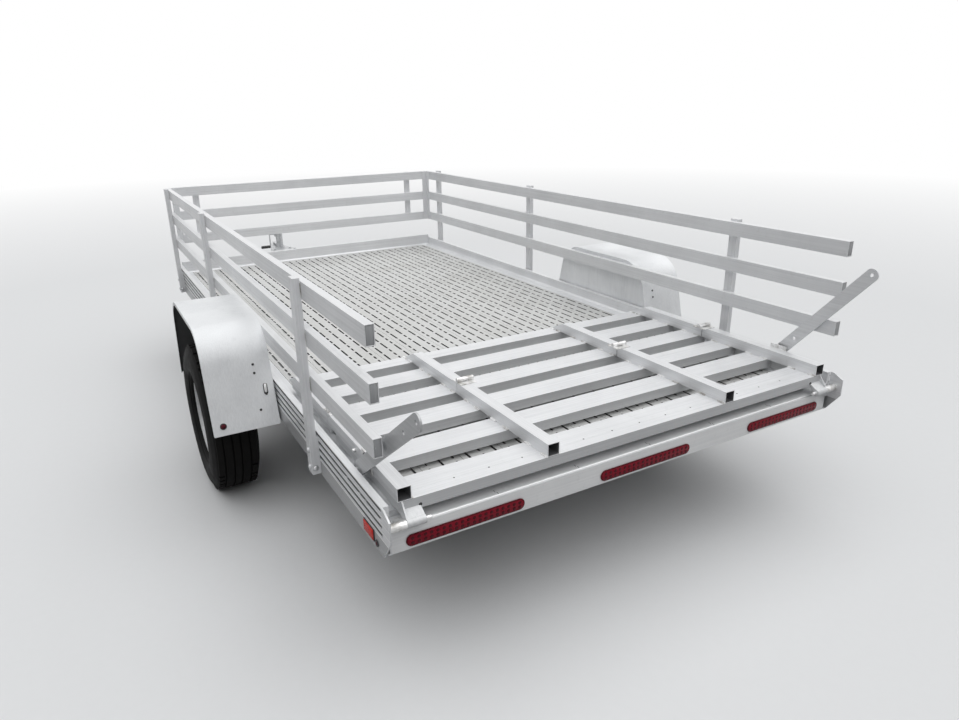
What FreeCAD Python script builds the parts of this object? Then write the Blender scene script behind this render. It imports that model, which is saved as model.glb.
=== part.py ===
"""Open aluminium utility trailer with a slotted plank deck, three-rail sides and a bi-fold rear ramp.

Units are millimetres. +X is the direction of travel, +Y the trailer's left and +Z up. The ground is
z = 0, the origin is the middle of the outer box on the ground, and stations along the trailer are
written as distances forward of the rear face of the frame, which station() turns into X.
"""
import FreeCAD, Part
import math
import os

from FreeCAD import Vector

os.makedirs("parts", exist_ok=True)

X_AXIS = Vector(1, 0, 0)
Y_AXIS = Vector(0, 1, 0)
Z_AXIS = Vector(0, 0, 1)
SIDES = (("left", 1), ("right", -1))

# Frame
body_length = 3690.0
frame_half_width = 981.0
side_thickness = 24.0
side_bottom = 430.0
side_height = 162.0
side_wall = 4.0
groove_count = 4
groove_pitch = 27.0
groove_mouth = 12.0
groove_inner = 15.0
groove_depth = 9.0
groove_lip = 3.0
groove_top_margin = 10.0
foot_rise = 9.0
ear_thickness = 6.0
ear_rear = 55.0
ear_low_corner = 504.0
ear_high_corner = 572.0
ear_top_rear = 15.0
front_board_height = 185.0
front_board_thickness = 29.0

# Deck
deck_rise = 106.0
plank_count = 12
plank_width = 150.0
plank_depth = 32.0
plank_skin = 3.5
plank_rib = 3.5
plank_gap = 1.0
deck_opening_count = 12
deck_opening_length = 212.0
deck_opening_width = 18.0
crossmember_width = 40.0
crossmember_web = 6.0
crossmember_flange = 7.0
crossmember_first = 160.0
crossmember_count = 6

# Rear bumper
bumper_depth = 60.0
bumper_below_deck = 22.0
bumper_ledge_rise = 6.0
bumper_wall = 5.0
light_centre_height = 459.0
light_length = 406.0
light_height = 40.0
light_proud = 6.0
light_centres = (709.0, 0.0, -709.0)

# Rails and posts
rail_tops = (1121.0, 962.0, 803.0)
rail_height = 60.0
rail_thickness = 28.0
rail_wall = 3.0
rail_inner_half = 960.0
rail_rear_station = 3.0
rear_post_station = 575.0
middle_post_station = 2230.0
front_post_inset = 165.0
post_width = 44.0
post_depth = 25.0
post_wall = 3.0
post_above_rail = 10.0
post_foot_above_bottom = 8.0
post_spacer_height = 140.0
corner_post_width = 40.0
corner_post_wall = 5.0
front_upright_offset = 800.0
front_upright_width = 40.0
front_upright_depth = 20.0

# Running gear
axle_station = 1520.0
tyre_radius = 332.0
tyre_width = 205.0
tyre_post_clearance = 34.5
tyre_past_fender = 6.5
tread_half_width = 80.0
sidewall_bulge_radius = 262.0
rim_bead_radius = 177.8
rim_flange_radius = 190.0
rim_half_width = 74.0
rim_skin = 4.0
rim_well_radius = 160.0
rim_well_half = 30.0
disc_thickness = 7.0
disc_offset = 22.0
window_count = 5
window_inner_radius = 88.0
window_outer_radius = 140.0
window_half_angle = 22.0
window_corner = 16.0
hub_bore_radius = 33.0
hub_radius = 36.0
hub_flange_radius = 70.0
hub_flange_thickness = 12.0
hub_cap_radius = 28.0
hub_cap_length = 34.0
nut_circle_diameter = 114.3
nut_count = 5
nut_across = 19.0
nut_length = 18.0
spindle_radius = 20.0
spindle_running_fit = 0.05
tyre_seat_gap = 0.5
axle_beam_size = 64.0
axle_beam_wall = 6.0
axle_beam_forward = 115.0
axle_bracket_length = 150.0
arm_thickness = 28.0
arm_beam_radius = 30.0
arm_spindle_radius = 28.0
arm_hub_gap = 6.0

# Fenders
fender_top = 822.0
fender_behind_axle = 29.0
fender_sheet = 3.0
fender_foot_half_length = 426.0
fender_foot_height = 423.0
fender_lean_deg = 14.0
fender_corner_radius = 160.0
fender_lip_depth = 16.0
fender_plate_bottom = 545.0
fender_spacer_half_length = 280.0
fender_spacer_height = 40.0
fender_lamp_radius = 13.0
fender_lamp_thickness = 6.0
fender_lamp_height = 460.0
fender_lamp_inset = 39.0

# Tongue, coupler and jack
tongue_beam_height = 64.0
tongue_beam_width = 51.0
tongue_beam_wall = 5.0
tongue_rear_station = 2780.0
tongue_rear_half = 560.0
tongue_front_station = 4700.0
tongue_front_half = 62.0
coupler_nose_station = 4975.0
coupler_plate = 6.0
coupler_rear_half = 125.0
coupler_cheek_reach = 4920.0
coupler_rear_station = 4560.0
coupler_socket_radius = 25.6
coupler_socket_crown = 18.0
coupler_nose_radius = 38.0
coupler_nose_height = 74.0
latch_length = 120.0
latch_width = 26.0
latch_thickness = 8.0
latch_stem = 16.0
jack_station = 4740.0
jack_tube_radius = 28.5
jack_leg_radius = 24.0
jack_leg_wall = 4.0
jack_running_fit = 0.06
jack_tube_bottom = 292.0
jack_tube_top = 585.0
jack_cap = 5.0
jack_collar_rim = 15.0
jack_leg_engagement = 42.0
jack_foot_size = 150.0
jack_foot_thickness = 6.0
jack_foot_boss = 10.0
jack_gearbox_height = 46.0
jack_gearbox_reach = 20.0
crank_shaft_radius = 7.0
crank_shaft_length = 42.0
crank_arm_length = 120.0
crank_arm_thickness = 6.0
crank_arm_width = 22.0
crank_grip_radius = 11.0
crank_grip_length = 78.0

# Ramp
hinge_back = 24.0
hinge_rise = 19.0
hinge_barrel_radius = 14.0
hinge_leaf_seat = 12.0
hinge_pin_radius = 6.0
hinge_running_fit = 0.05
frame_barrel_half_span = (918.0, 975.0)
ramp_barrel_half_span = 858.0
hinge_pin_end = 840.0
ramp_tube_size = 45.0
ramp_tube_wall = 3.0
ramp_tube_half = (906.0, 394.0)
ramp_tube_rear_station = 4.0
ramp_seam_station = 606.0
ramp_seam_gap = 3.0
ramp_front_station = 1100.0
ramp_down_slope_deg = 25.0
ramp_deck_clearance = 15.0
slat_height = 38.0
slat_wall = 3.0
# Slats by (rear station, width)
lower_slats = ((4.0, 128.0), (235.0, 114.0), (429.0, 114.0))
upper_slats = ((618.0, 114.0), (817.0, 114.0), (1015.0, 85.0))
slat_half_length = 912.0
ramp_plate_thickness = 5.0
ramp_plate_front_station = 560.0
ramp_plate_drop = 7.0
ramp_plate_rise_station = 20.0
upper_plate_rear_station = 612.0
fold_knuckle_radius = 9.0
fold_knuckle_clearance = 2.0
fold_pin_radius = 4.0
fold_running_fit = 0.05
fold_knuckle_count = 3
fold_knuckle_length = 23.0
fold_knuckle_space = 1.0
fold_leaf_length = 34.0
fold_leaf_thickness = 4.0
latch_tab_station = 224.0
latch_tab_length = 76.0
latch_tab_thickness = 4.0
latch_tab_rise = 16.0
latch_knob_radius = 11.0
latch_knob_length = 6.0
latch_pin_station = 330.0
latch_pin_radius = 6.0
latch_pin_length = 10.0

# Ramp support arms: pitch above the rearward horizontal in degrees
arm_pivot_station = 265.0
arm_foot_clearance = 10.0
arm_inner_half = 944.0
arm_bar_thickness = 6.0
arm_bar_width = 50.0
arm_hole_span = 578.0
arm_second_hole = {"left": 478.0, "right": 150.0}
arm_hole_radius = 7.0
arm_bolt_radius = 8.0
arm_bolt_fit = 0.05
arm_bolt_head_across = 24.0
arm_bolt_head_thickness = 3.5
arm_bolt_head_gap = 0.5
arm_pitch_deg = {"left": 36.5, "right": 49.0}

# Reflectors
reflector_station = 104.0
reflector_length = 80.0
reflector_height = 40.0
reflector_centre_height = 466.0
reflector_thickness = 5.0
marker_station = 45.0
marker_radius = 11.0
marker_height = 452.0

# Places worked out from the sizes above
side_top = side_bottom + side_height
side_inner_half = frame_half_width - side_thickness
deck_height = side_bottom + deck_rise
plank_bottom = deck_height - plank_depth
bumper_ledge = deck_height - bumper_below_deck
bumper_face_top = bumper_ledge - bumper_ledge_rise
crossmember_pitch = body_length / crossmember_count
post_stations = (rear_post_station, middle_post_station, body_length - front_post_inset)
rail_outer_half = rail_inner_half + rail_thickness
tyre_inner_half = rail_outer_half + post_depth + tyre_post_clearance
tyre_centre_half = tyre_inner_half + tyre_width / 2
fender_outer_half = tyre_inner_half + tyre_width - tyre_past_fender
fender_station = axle_station - fender_behind_axle
fender_lamp_half = fender_outer_half - fender_lamp_inset
arm_pivot_height = deck_height + foot_rise + arm_foot_clearance + arm_bar_width / 2
hinge_height = bumper_ledge + hinge_rise
slat_bottom = deck_height + ramp_deck_clearance
slat_top = slat_bottom + slat_height
tube_top = slat_top + ramp_tube_size
arm_reach = (arm_hole_span * math.cos(math.radians(arm_pitch_deg["left"])) + arm_bar_width / 2)
rear_reach = arm_reach - arm_pivot_station
rear_x = -(coupler_nose_station - rear_reach) / 2


def station(distance):
    """X of a place that many millimetres forward of the frame's rear face."""
    return rear_x + distance


def box(x0, x1, y0, y1, z0, z1):
    """Box between two corners, given in any order along Y."""
    low, high = min(y0, y1), max(y0, y1)
    return Part.makeBox(x1 - x0, high - low, z1 - z0, Vector(x0, low, z0))


def cylinder(radius, start, axis, length):
    return Part.makeCylinder(radius, length, start, axis)


def tube_x(x0, x1, y0, y1, z0, z1, wall):
    """Open-ended rectangular tube along X."""
    low, high = min(y0, y1), max(y0, y1)
    return box(x0, x1, low, high, z0, z1).cut(
        box(x0, x1, low + wall, high - wall, z0 + wall, z1 - wall))


def tube_y(x0, x1, y0, y1, z0, z1, wall):
    """Open-ended rectangular tube along Y."""
    return box(x0, x1, y0, y1, z0, z1).cut(box(x0 + wall, x1 - wall, y0, y1, z0 + wall, z1 - wall))


def tube_z(x0, x1, y0, y1, z0, z1, wall):
    """Open-ended rectangular tube along Z."""
    low, high = min(y0, y1), max(y0, y1)
    return box(x0, x1, low, high, z0, z1).cut(
        box(x0 + wall, x1 - wall, low + wall, high - wall, z0, z1))


def face_of(points):
    return Part.Face(Part.makePolygon([*points, points[0]]))


def extrude_x(outline, x0, x1):
    """Solid from (y, z) points between two X places."""
    return face_of([Vector(x0, y, z) for y, z in outline]).extrude(Vector(x1 - x0, 0, 0))


def extrude_y(outline, y0, y1):
    """Solid from (x, z) points between two Y places."""
    low, high = min(y0, y1), max(y0, y1)
    return face_of([Vector(x, low, z) for x, z in outline]).extrude(Vector(0, high - low, 0))


def extrude_z(outline, z0, z1):
    """Solid from (x, y) points between two heights."""
    return face_of([Vector(x, y, z0) for x, y in outline]).extrude(Vector(0, 0, z1 - z0))


def hexagon(across_flats, start, axis, length):
    """Six-sided head or nut along X, Y or Z."""
    radius = across_flats / math.sqrt(3)
    up = Z_AXIS if abs(axis.z) < abs(axis.y) + abs(axis.x) else X_AXIS
    over = axis.cross(up)
    points = [start + up * (radius * math.cos(turn)) + over * (radius * math.sin(turn))
              for turn in (math.pi * index / 3 for index in range(6))]
    return face_of(points).extrude(axis * length)


def mirrored(shape, side):
    """The left piece itself, or its copy on the trailer's right."""
    return shape if side > 0 else shape.mirror(Vector(0, 0, 0), Y_AXIS)


def fused(shapes):
    first, *rest = shapes
    return first.fuse(rest).removeSplitter() if rest else first


def side_outline():
    """Section of the left side extrusion as (y, z) points, with T-slots in its outer face."""
    outer = frame_half_width
    inner = side_inner_half
    points = [(inner, side_bottom), (outer, side_bottom)]
    lowest = side_top - groove_top_margin - groove_pitch * (groove_count - 1)
    for index in range(groove_count):
        middle = lowest + groove_pitch * index
        mouth = groove_mouth / 2
        wide = groove_inner / 2
        points += [(outer, middle - mouth), (outer - groove_lip, middle - mouth),
                   (outer - groove_lip, middle - wide), (outer - groove_depth, middle - wide),
                   (outer - groove_depth, middle + wide), (outer - groove_lip, middle + wide),
                   (outer - groove_lip, middle + mouth), (outer, middle + mouth)]
    points += [(outer, side_top), (inner, side_top),
               (inner, deck_height + foot_rise), (inner - foot_rise, deck_height),
               (inner - foot_rise, deck_height - side_wall), (inner, deck_height - side_wall)]
    return points


def side_frame():
    """Left side extrusion with its hollow and the ear that its outer skin forms at the rear."""
    front = station(body_length)
    rear = station(0)
    shape = extrude_x(side_outline(), rear, front)
    hollow_top = side_top - groove_top_margin - groove_pitch * (groove_count - 1) - groove_inner
    hollow = box(rear, front, side_inner_half + side_wall, frame_half_width - side_wall,
                 side_bottom + side_wall, hollow_top)
    board_rear = station(body_length - front_board_thickness)
    board_seat = box(board_rear, front, side_inner_half - foot_rise, side_inner_half,
                     side_bottom, side_top)
    ear = extrude_y([(rear, side_bottom), (station(-ear_rear), ear_low_corner),
                     (station(-ear_rear), ear_high_corner), (station(-ear_top_rear), side_top),
                     (rear, side_top)],
                    frame_half_width - ear_thickness, frame_half_width)
    return fused([shape.cut([hollow, board_seat]), ear])


def front_board():
    """Front cross board with a hollow lower box and a cove at the deck."""
    rear = station(body_length - front_board_thickness)
    front = station(body_length)
    half = side_inner_half
    top = side_bottom + front_board_height
    outline = [(rear, side_bottom), (front, side_bottom), (front, top), (rear, top),
               (rear, deck_height + foot_rise), (rear - foot_rise, deck_height),
               (rear - foot_rise, deck_height - side_wall), (rear, deck_height - side_wall)]
    shape = extrude_y(outline, -half, half)
    lower = box(rear + side_wall, front - side_wall, -half, half,
                side_bottom + side_wall, plank_bottom - side_wall)
    upper = box(rear + side_wall, front - side_wall, -half, half,
                plank_bottom, top - side_wall)
    corner = half - foot_rise
    ends = [box(rear - foot_rise, rear, sign * corner, sign * half, side_bottom, top)
            for sign in (1, -1)]
    return shape.cut([lower, upper, *ends])


def rear_bumper():
    """Hollow rear cross extrusion with a vertical light face and a sloping ledge."""
    rear = station(0)
    front = station(bumper_depth)
    half = side_inner_half
    outline = [(rear, side_bottom), (front, side_bottom), (front, bumper_ledge),
               (rear + bumper_ledge_rise, bumper_ledge), (rear, bumper_face_top)]
    hollow = box(rear + bumper_wall, front - bumper_wall, -half, half,
                 side_bottom + bumper_wall, bumper_face_top - bumper_wall)
    return extrude_y(outline, -half, half).cut(hollow)


def deck_front():
    """X at which the planks meet the foot of the front board."""
    return station(body_length - front_board_thickness - foot_rise)


def deck_planks():
    """Extruded planks side by side, each a skin on four ribs with a row of openings between them."""
    rear = station(bumper_depth)
    front = deck_front()
    first = -plank_count * plank_width / 2
    opening_pitch = (front - rear) / deck_opening_count
    planks = []
    for index in range(plank_count):
        low = first + plank_width * index + plank_gap / 2
        high = first + plank_width * (index + 1) - plank_gap / 2
        under = deck_height - plank_skin
        outline = [(low, plank_bottom), (low + plank_rib, plank_bottom), (low + plank_rib, under)]
        for third in (1, 2):
            middle = low + (high - low) * third / 3
            outline += [(middle - plank_rib / 2, under), (middle - plank_rib / 2, plank_bottom),
                        (middle + plank_rib / 2, plank_bottom), (middle + plank_rib / 2, under)]
        outline += [(high - plank_rib, under), (high - plank_rib, plank_bottom),
                    (high, plank_bottom), (high, deck_height), (low, deck_height)]
        middle = (low + high) / 2
        openings = []
        for row in range(deck_opening_count):
            start = rear + opening_pitch * (row + 0.5) - deck_opening_length / 2
            openings.append(box(start, start + deck_opening_length,
                                middle - deck_opening_width / 2, middle + deck_opening_width / 2,
                                under, deck_height))
        planks.append(extrude_x(outline, rear, front).cut(openings))
    return Part.makeCompound(planks)


def deck_edges():
    """Hollow edge strips that close the deck between the outer planks and the sides."""
    rear = station(bumper_depth)
    front = deck_front()
    start = plank_count * plank_width / 2
    cove = side_inner_half - foot_rise
    under = deck_height - side_wall
    outline = [(start, plank_bottom), (side_inner_half, plank_bottom), (side_inner_half, under),
               (cove, under), (cove, deck_height), (start, deck_height)]
    hollow = [(start + side_wall, plank_bottom + side_wall),
              (side_inner_half - side_wall, plank_bottom + side_wall),
              (side_inner_half - side_wall, under - side_wall),
              (start + side_wall, under - side_wall)]
    left = extrude_x(outline, rear, front).cut(extrude_x(hollow, rear, front))
    return Part.makeCompound([left, mirrored(left, -1)])


def crossmembers():
    """I-section beams under the planks, flush with the bottoms of the sides."""
    half = side_inner_half
    beams = []
    for index in range(crossmember_count):
        middle = station(crossmember_first + crossmember_pitch * index)
        edge = crossmember_width / 2
        web = crossmember_web / 2
        low = side_bottom + crossmember_flange
        high = plank_bottom - crossmember_flange
        outline = [(middle - edge, side_bottom), (middle + edge, side_bottom),
                   (middle + edge, low), (middle + web, low), (middle + web, high),
                   (middle + edge, high), (middle + edge, plank_bottom),
                   (middle - edge, plank_bottom), (middle - edge, high), (middle - web, high),
                   (middle - web, low), (middle - edge, low)]
        beams.append(extrude_y(outline, -half, half))
    return Part.makeCompound(beams)


def stadium_plate(length, height, thickness, centre, normal):
    """Round-ended plate whose long side runs along Y, or along X when its normal is Y."""
    radius = height / 2
    straight = length / 2 - radius
    along = Y_AXIS if abs(normal.x) > 0.5 else X_AXIS
    ends = [cylinder(radius, centre + along * (sign * straight), normal, thickness)
            for sign in (1, -1)]
    across = Z_AXIS * radius
    corners = [centre + along * straight + across, centre - along * straight + across,
               centre - along * straight - across, centre + along * straight - across]
    return fused([face_of(corners).extrude(normal * thickness), *ends])


def tail_lights():
    """Three round-ended light bars on the bumper face."""
    return Part.makeCompound([
        stadium_plate(light_length, light_height, light_proud,
                      Vector(station(0), centre, light_centre_height), -X_AXIS)
        for centre in light_centres])


def side_rail(top, side):
    """One open-ended side rail."""
    return tube_x(station(rail_rear_station), station(body_length - front_board_thickness),
                  side * rail_inner_half, side * rail_outer_half, top - rail_height, top,
                  rail_wall)


def front_rail(top):
    """One front rail, closed across the ends of the side rails."""
    rear = station(body_length - front_board_thickness)
    return tube_y(rear, rear + rail_thickness, -rail_outer_half, rail_outer_half,
                  top - rail_height, top, rail_wall)


def side_posts():
    """Left posts outside the rails, each on a spacer against the side extrusion."""
    inner = rail_outer_half
    top = rail_tops[0] + post_above_rail
    low = side_bottom + post_foot_above_bottom
    posts = []
    for place in post_stations:
        rear = station(place - post_width / 2)
        front = station(place + post_width / 2)
        tube = tube_z(rear, front, inner, inner + post_depth, low, top - post_wall, post_wall)
        cap = box(rear, front, inner, inner + post_depth, top - post_wall, top)
        spacer = box(rear, front, frame_half_width, inner, low, low + post_spacer_height)
        posts.append(fused([tube, cap, spacer]))
    return Part.makeCompound(posts)


def front_uprights():
    """Uprights on the front of the front rails and the angles in the two front corners."""
    rear = station(body_length - front_board_thickness)
    low = rail_tops[-1] - rail_height
    high = rail_tops[0]
    pieces = []
    for side in (1, -1):
        centre = side * front_upright_offset
        pieces.append(tube_z(rear + rail_thickness, rear + rail_thickness + front_upright_depth,
                             centre - front_upright_width / 2, centre + front_upright_width / 2,
                             low, high, rail_wall))
        corner = side * rail_inner_half
        outer = box(rear - corner_post_width, rear, corner, corner - side * corner_post_width,
                    low, high)
        inner = box(rear - corner_post_width, rear - corner_post_wall,
                    corner - side * corner_post_wall, corner - side * corner_post_width, low, high)
        pieces.append(outer.cut(inner))
    return Part.makeCompound(pieces)


def fender_face(inset, y):
    """Face under the fender's outline, moved inward by inset and closed across its foot."""
    lean = math.radians(fender_lean_deg)
    centre = station(fender_station)
    top = fender_top - inset
    radius = fender_corner_radius - inset
    foot = fender_foot_half_length - inset / math.cos(lean)
    crown = foot - (top - fender_foot_height) * math.tan(lean)
    tangent = radius * math.tan((math.pi / 2 - lean) / 2)
    flat = crown - tangent
    bend_x = crown + tangent * math.sin(lean)
    bend_z = top - tangent * math.cos(lean)
    middle_angle = (math.pi / 2 + lean) / 2
    arc_x = flat + radius * math.cos(middle_angle)
    arc_z = top - radius + radius * math.sin(middle_angle)

    def at(sign, x, z):
        return Vector(centre + sign * x, y, z)

    edges = [Part.makeLine(at(-1, foot, fender_foot_height), at(-1, bend_x, bend_z)),
             Part.Arc(at(-1, bend_x, bend_z), at(-1, arc_x, arc_z), at(-1, flat, top)).toShape(),
             Part.makeLine(at(-1, flat, top), at(1, flat, top)),
             Part.Arc(at(1, flat, top), at(1, arc_x, arc_z), at(1, bend_x, bend_z)).toShape(),
             Part.makeLine(at(1, bend_x, bend_z), at(1, foot, fender_foot_height)),
             Part.makeLine(at(1, foot, fender_foot_height), at(-1, foot, fender_foot_height))]
    return Part.Face(Part.Wire(edges))


def fender():
    """Left fender: bent sheet with a turned-in lip outside and a closing plate at the rails."""
    inner = rail_outer_half
    width = Vector(0, fender_outer_half - inner, 0)
    sheet = fender_face(0, inner).extrude(width)
    sheet = sheet.cut(fender_face(fender_sheet, inner).extrude(width))
    lip_at = fender_outer_half - fender_sheet
    lip = fender_face(fender_sheet, lip_at).extrude(Vector(0, fender_sheet, 0))
    lip = lip.cut(fender_face(fender_lip_depth, lip_at).extrude(Vector(0, fender_sheet, 0)))
    plate = fender_face(fender_sheet, inner).extrude(Vector(0, fender_sheet, 0))
    reach = fender_foot_half_length + fender_sheet
    below = box(station(fender_station - reach), station(fender_station + reach),
                inner, inner + fender_sheet, fender_foot_height, fender_plate_bottom)
    spacer = box(station(fender_station - fender_spacer_half_length),
                 station(fender_station + fender_spacer_half_length), frame_half_width, inner,
                 fender_plate_bottom, fender_plate_bottom + fender_spacer_height)
    return fused([sheet, lip, plate.cut(below), spacer])


def fender_lamps():
    """Round lamps on the rear faces of both fenders, square to the leaning sheet."""
    lean = math.radians(fender_lean_deg)
    rise = (fender_lamp_height - fender_foot_height) * math.tan(lean)
    face_x = station(fender_station - fender_foot_half_length + rise)
    normal = Vector(-math.cos(lean), 0, math.sin(lean))
    return Part.makeCompound([
        cylinder(fender_lamp_radius, Vector(face_x, side * fender_lamp_half, fender_lamp_height),
                 normal, fender_lamp_thickness)
        for side in (1, -1)])


def axle_beam():
    """Square torsion tube under the frame with its two hanging brackets."""
    middle = station(axle_station + axle_beam_forward)
    half = axle_beam_size / 2
    centre_z = axle_centre_height()
    end = axle_beam_half()
    beam = tube_y(middle - half, middle + half, -end, end, centre_z - half, centre_z + half,
                  axle_beam_wall)
    pads = [box(middle - axle_bracket_length / 2, middle + axle_bracket_length / 2,
                side * frame_half_width, side * (end - axle_beam_size), centre_z + half, side_bottom)
            for side in (1, -1)]
    return fused([beam, *pads])


def axle_centre_height():
    return side_bottom - axle_beam_size / 2 - coupler_plate


def axle_beam_half():
    return side_inner_half


def hub_inner_half():
    return axle_beam_half() + arm_thickness + arm_hub_gap


def disc_inner_half():
    """Half width at which the wheel disc seats on the hub flange."""
    return tyre_centre_half + disc_offset


def torsion_arm():
    """Left trailing arm with the spindle that carries the hub."""
    inner = axle_beam_half()
    beam_at = Vector(station(axle_station + axle_beam_forward), inner, axle_centre_height())
    spindle_at = Vector(station(axle_station), inner, tyre_radius)
    big = cylinder(arm_beam_radius, beam_at, Y_AXIS, arm_thickness)
    small = cylinder(arm_spindle_radius, spindle_at, Y_AXIS, arm_thickness)
    along = spindle_at - beam_at
    reach = along.Length
    unit = along * (1 / reach)
    across = Vector(-unit.z, 0, unit.x)
    slope = (arm_beam_radius - arm_spindle_radius) / reach
    rise = math.sqrt(1 - slope * slope)
    near = unit * slope + across * rise
    far = unit * slope - across * rise
    corners = [beam_at + near * arm_beam_radius, spindle_at + near * arm_spindle_radius,
               spindle_at + far * arm_spindle_radius, beam_at + far * arm_beam_radius]
    web = face_of(corners).extrude(Y_AXIS * arm_thickness)
    spindle = cylinder(spindle_radius, spindle_at + Y_AXIS * arm_thickness, Y_AXIS,
                       disc_inner_half() - inner - arm_thickness)
    return fused([big, small, web, spindle])


def revolved(outline, centre):
    """Solid of revolution about the wheel axis from (y, radius) points."""
    points = [centre + Vector(0, y, r) for y, r in outline]
    return face_of(points).revolve(centre, Y_AXIS, 360)


def hub():
    """Left hub with its flange and grease cap, and the nuts that seat on the wheel disc."""
    inner = hub_inner_half()
    disc = disc_inner_half()
    centre = Vector(station(axle_station), 0, tyre_radius)
    body = cylinder(hub_radius, centre + Y_AXIS * inner, Y_AXIS, disc - inner)
    flange = cylinder(hub_flange_radius, centre + Y_AXIS * (disc - hub_flange_thickness), Y_AXIS,
                      hub_flange_thickness)
    cap = cylinder(hub_cap_radius, centre + Y_AXIS * disc, Y_AXIS, hub_cap_length)
    shape = fused([body, flange, cap])
    shape = shape.cut(cylinder(spindle_radius + spindle_running_fit, centre + Y_AXIS * inner,
                               Y_AXIS, disc - inner + arm_hub_gap))
    nuts = []
    for index in range(nut_count):
        turn = 2 * math.pi * index / nut_count
        spot = centre + Vector(math.sin(turn), 0, math.cos(turn)) * (nut_circle_diameter / 2)
        nuts.append(hexagon(nut_across, spot + Y_AXIS * (disc + disc_thickness), Y_AXIS,
                            nut_length))
    return Part.makeCompound([shape, *nuts])


def rim_window(centre, turn):
    """Cutter for one six-cornered opening in the wheel disc, wider towards the rim."""
    half = math.radians(window_half_angle)
    low = disc_inner_half() - disc_thickness
    inner = window_inner_radius
    outer = window_outer_radius
    corners = [(inner, -half / 2), (inner, half / 2), (outer - window_corner, half),
               (outer, half / 2), (outer, -half / 2), (outer - window_corner, -half)]
    points = [centre + Vector(radius * math.sin(turn + angle), low,
                              radius * math.cos(turn + angle)) for radius, angle in corners]
    # The cutter starts one thickness inside the disc and ends one outside
    return face_of(points).extrude(Y_AXIS * (3 * disc_thickness))


def rim():
    """Left wheel rim: dropped-centre barrel and a disc with five windows."""
    centre = Vector(station(axle_station), 0, tyre_radius)
    mid = tyre_centre_half
    side = rim_half_width
    skin = rim_skin
    well = rim_well_half
    step = rim_bead_radius - rim_well_radius
    outer = [(mid - side, rim_flange_radius), (mid - side + skin, rim_flange_radius),
             (mid - side + skin, rim_bead_radius), (mid - well - step, rim_bead_radius),
             (mid - well, rim_well_radius), (mid + well, rim_well_radius),
             (mid + well + step, rim_bead_radius), (mid + side - skin, rim_bead_radius),
             (mid + side - skin, rim_flange_radius), (mid + side, rim_flange_radius)]
    inner = [(mid + side, rim_bead_radius - skin), (mid + well + step, rim_bead_radius - skin),
             (mid + well, rim_well_radius - skin), (mid - well, rim_well_radius - skin),
             (mid - well - step, rim_bead_radius - skin), (mid - side, rim_bead_radius - skin)]
    barrel = revolved(outer + inner, centre)
    disc = disc_inner_half()
    disc_rim = rim_well_radius - skin
    plate = revolved([(disc, hub_bore_radius), (disc + disc_thickness, hub_bore_radius),
                      (disc + disc_thickness, disc_rim), (disc, disc_rim)], centre)
    cutters = [rim_window(centre, 2 * math.pi * (index + 0.5) / window_count)
               for index in range(window_count)]
    return fused([barrel, plate.cut(cutters)])


def tyre():
    """Left tyre as one solid ring: flat tread, sloping shoulders and bulged sidewalls."""
    centre = Vector(station(axle_station), 0, tyre_radius)
    bead_half = rim_half_width - rim_skin - tyre_seat_gap
    # Half section as (half width, radius) from the bead to the tread
    half = [(bead_half, rim_bead_radius + tyre_seat_gap),
            (bead_half, rim_flange_radius + tyre_seat_gap),
            (tyre_width / 2, sidewall_bulge_radius), (tread_half_width, tyre_radius)]
    section = half + [(-y, r) for y, r in reversed(half)]
    return revolved([(tyre_centre_half + y, r) for y, r in section], centre)


def tongue_slab(rear_station, front_station, inner, outer, low, top):
    """Slab along the left tongue beam between two offsets from the beam's centreline."""
    rear = Vector(station(tongue_rear_station), tongue_rear_half, 0)
    front = Vector(station(tongue_front_station), tongue_front_half, 0)
    run = front - rear
    unit = run * (1 / run.Length)
    across = Vector(-unit.y, unit.x, 0)
    start = rear + run * ((station(rear_station) - rear.x) / run.x)
    end = rear + run * ((station(front_station) - rear.x) / run.x)
    corners = [start + across * inner, end + across * inner,
               end + across * outer, start + across * outer]
    return extrude_z([(p.x, p.y) for p in corners], low, top)


def tongue_beam():
    """Left beam of the A-frame, from under the deck to the coupler."""
    top = side_bottom
    low = top - tongue_beam_height
    half = tongue_beam_width / 2
    wall = tongue_beam_wall
    beam = tongue_slab(tongue_rear_station, tongue_front_station, -half, half, low, top)
    return beam.cut(tongue_slab(tongue_rear_station, tongue_front_station,
                                wall - half, half - wall, low + wall, top - wall))


def coupler():
    """A-frame coupler: plate and cheeks over the beam ends, jack hole and a nose with its socket."""
    top = side_bottom
    rear = station(coupler_rear_station)
    nose = Vector(station(coupler_nose_station) - coupler_nose_radius, 0, 0)
    plate = extrude_z([(rear, coupler_rear_half), (nose.x, coupler_nose_radius),
                       (nose.x, -coupler_nose_radius), (rear, -coupler_rear_half)],
                      top, top + coupler_plate)
    low = top + coupler_plate - coupler_nose_height
    barrel = cylinder(coupler_nose_radius, Vector(nose.x, 0, low), Z_AXIS, coupler_nose_height)
    throat = cylinder(coupler_socket_radius, Vector(nose.x, 0, low), Z_AXIS,
                      coupler_socket_radius)
    dome = Part.makeCone(coupler_socket_radius, coupler_socket_crown, coupler_socket_crown,
                         Vector(nose.x, 0, low + coupler_socket_radius), Z_AXIS)
    jack_hole = cylinder(jack_tube_radius, Vector(station(jack_station), 0, top), Z_AXIS,
                         coupler_plate)
    edge = tongue_beam_width / 2
    cheek = tongue_slab(coupler_rear_station, coupler_cheek_reach, edge, edge + coupler_plate,
                        top - tongue_beam_height, top)
    return fused([plate, barrel, cheek, mirrored(cheek, -1)]).cut([throat, dome, jack_hole])


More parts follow.
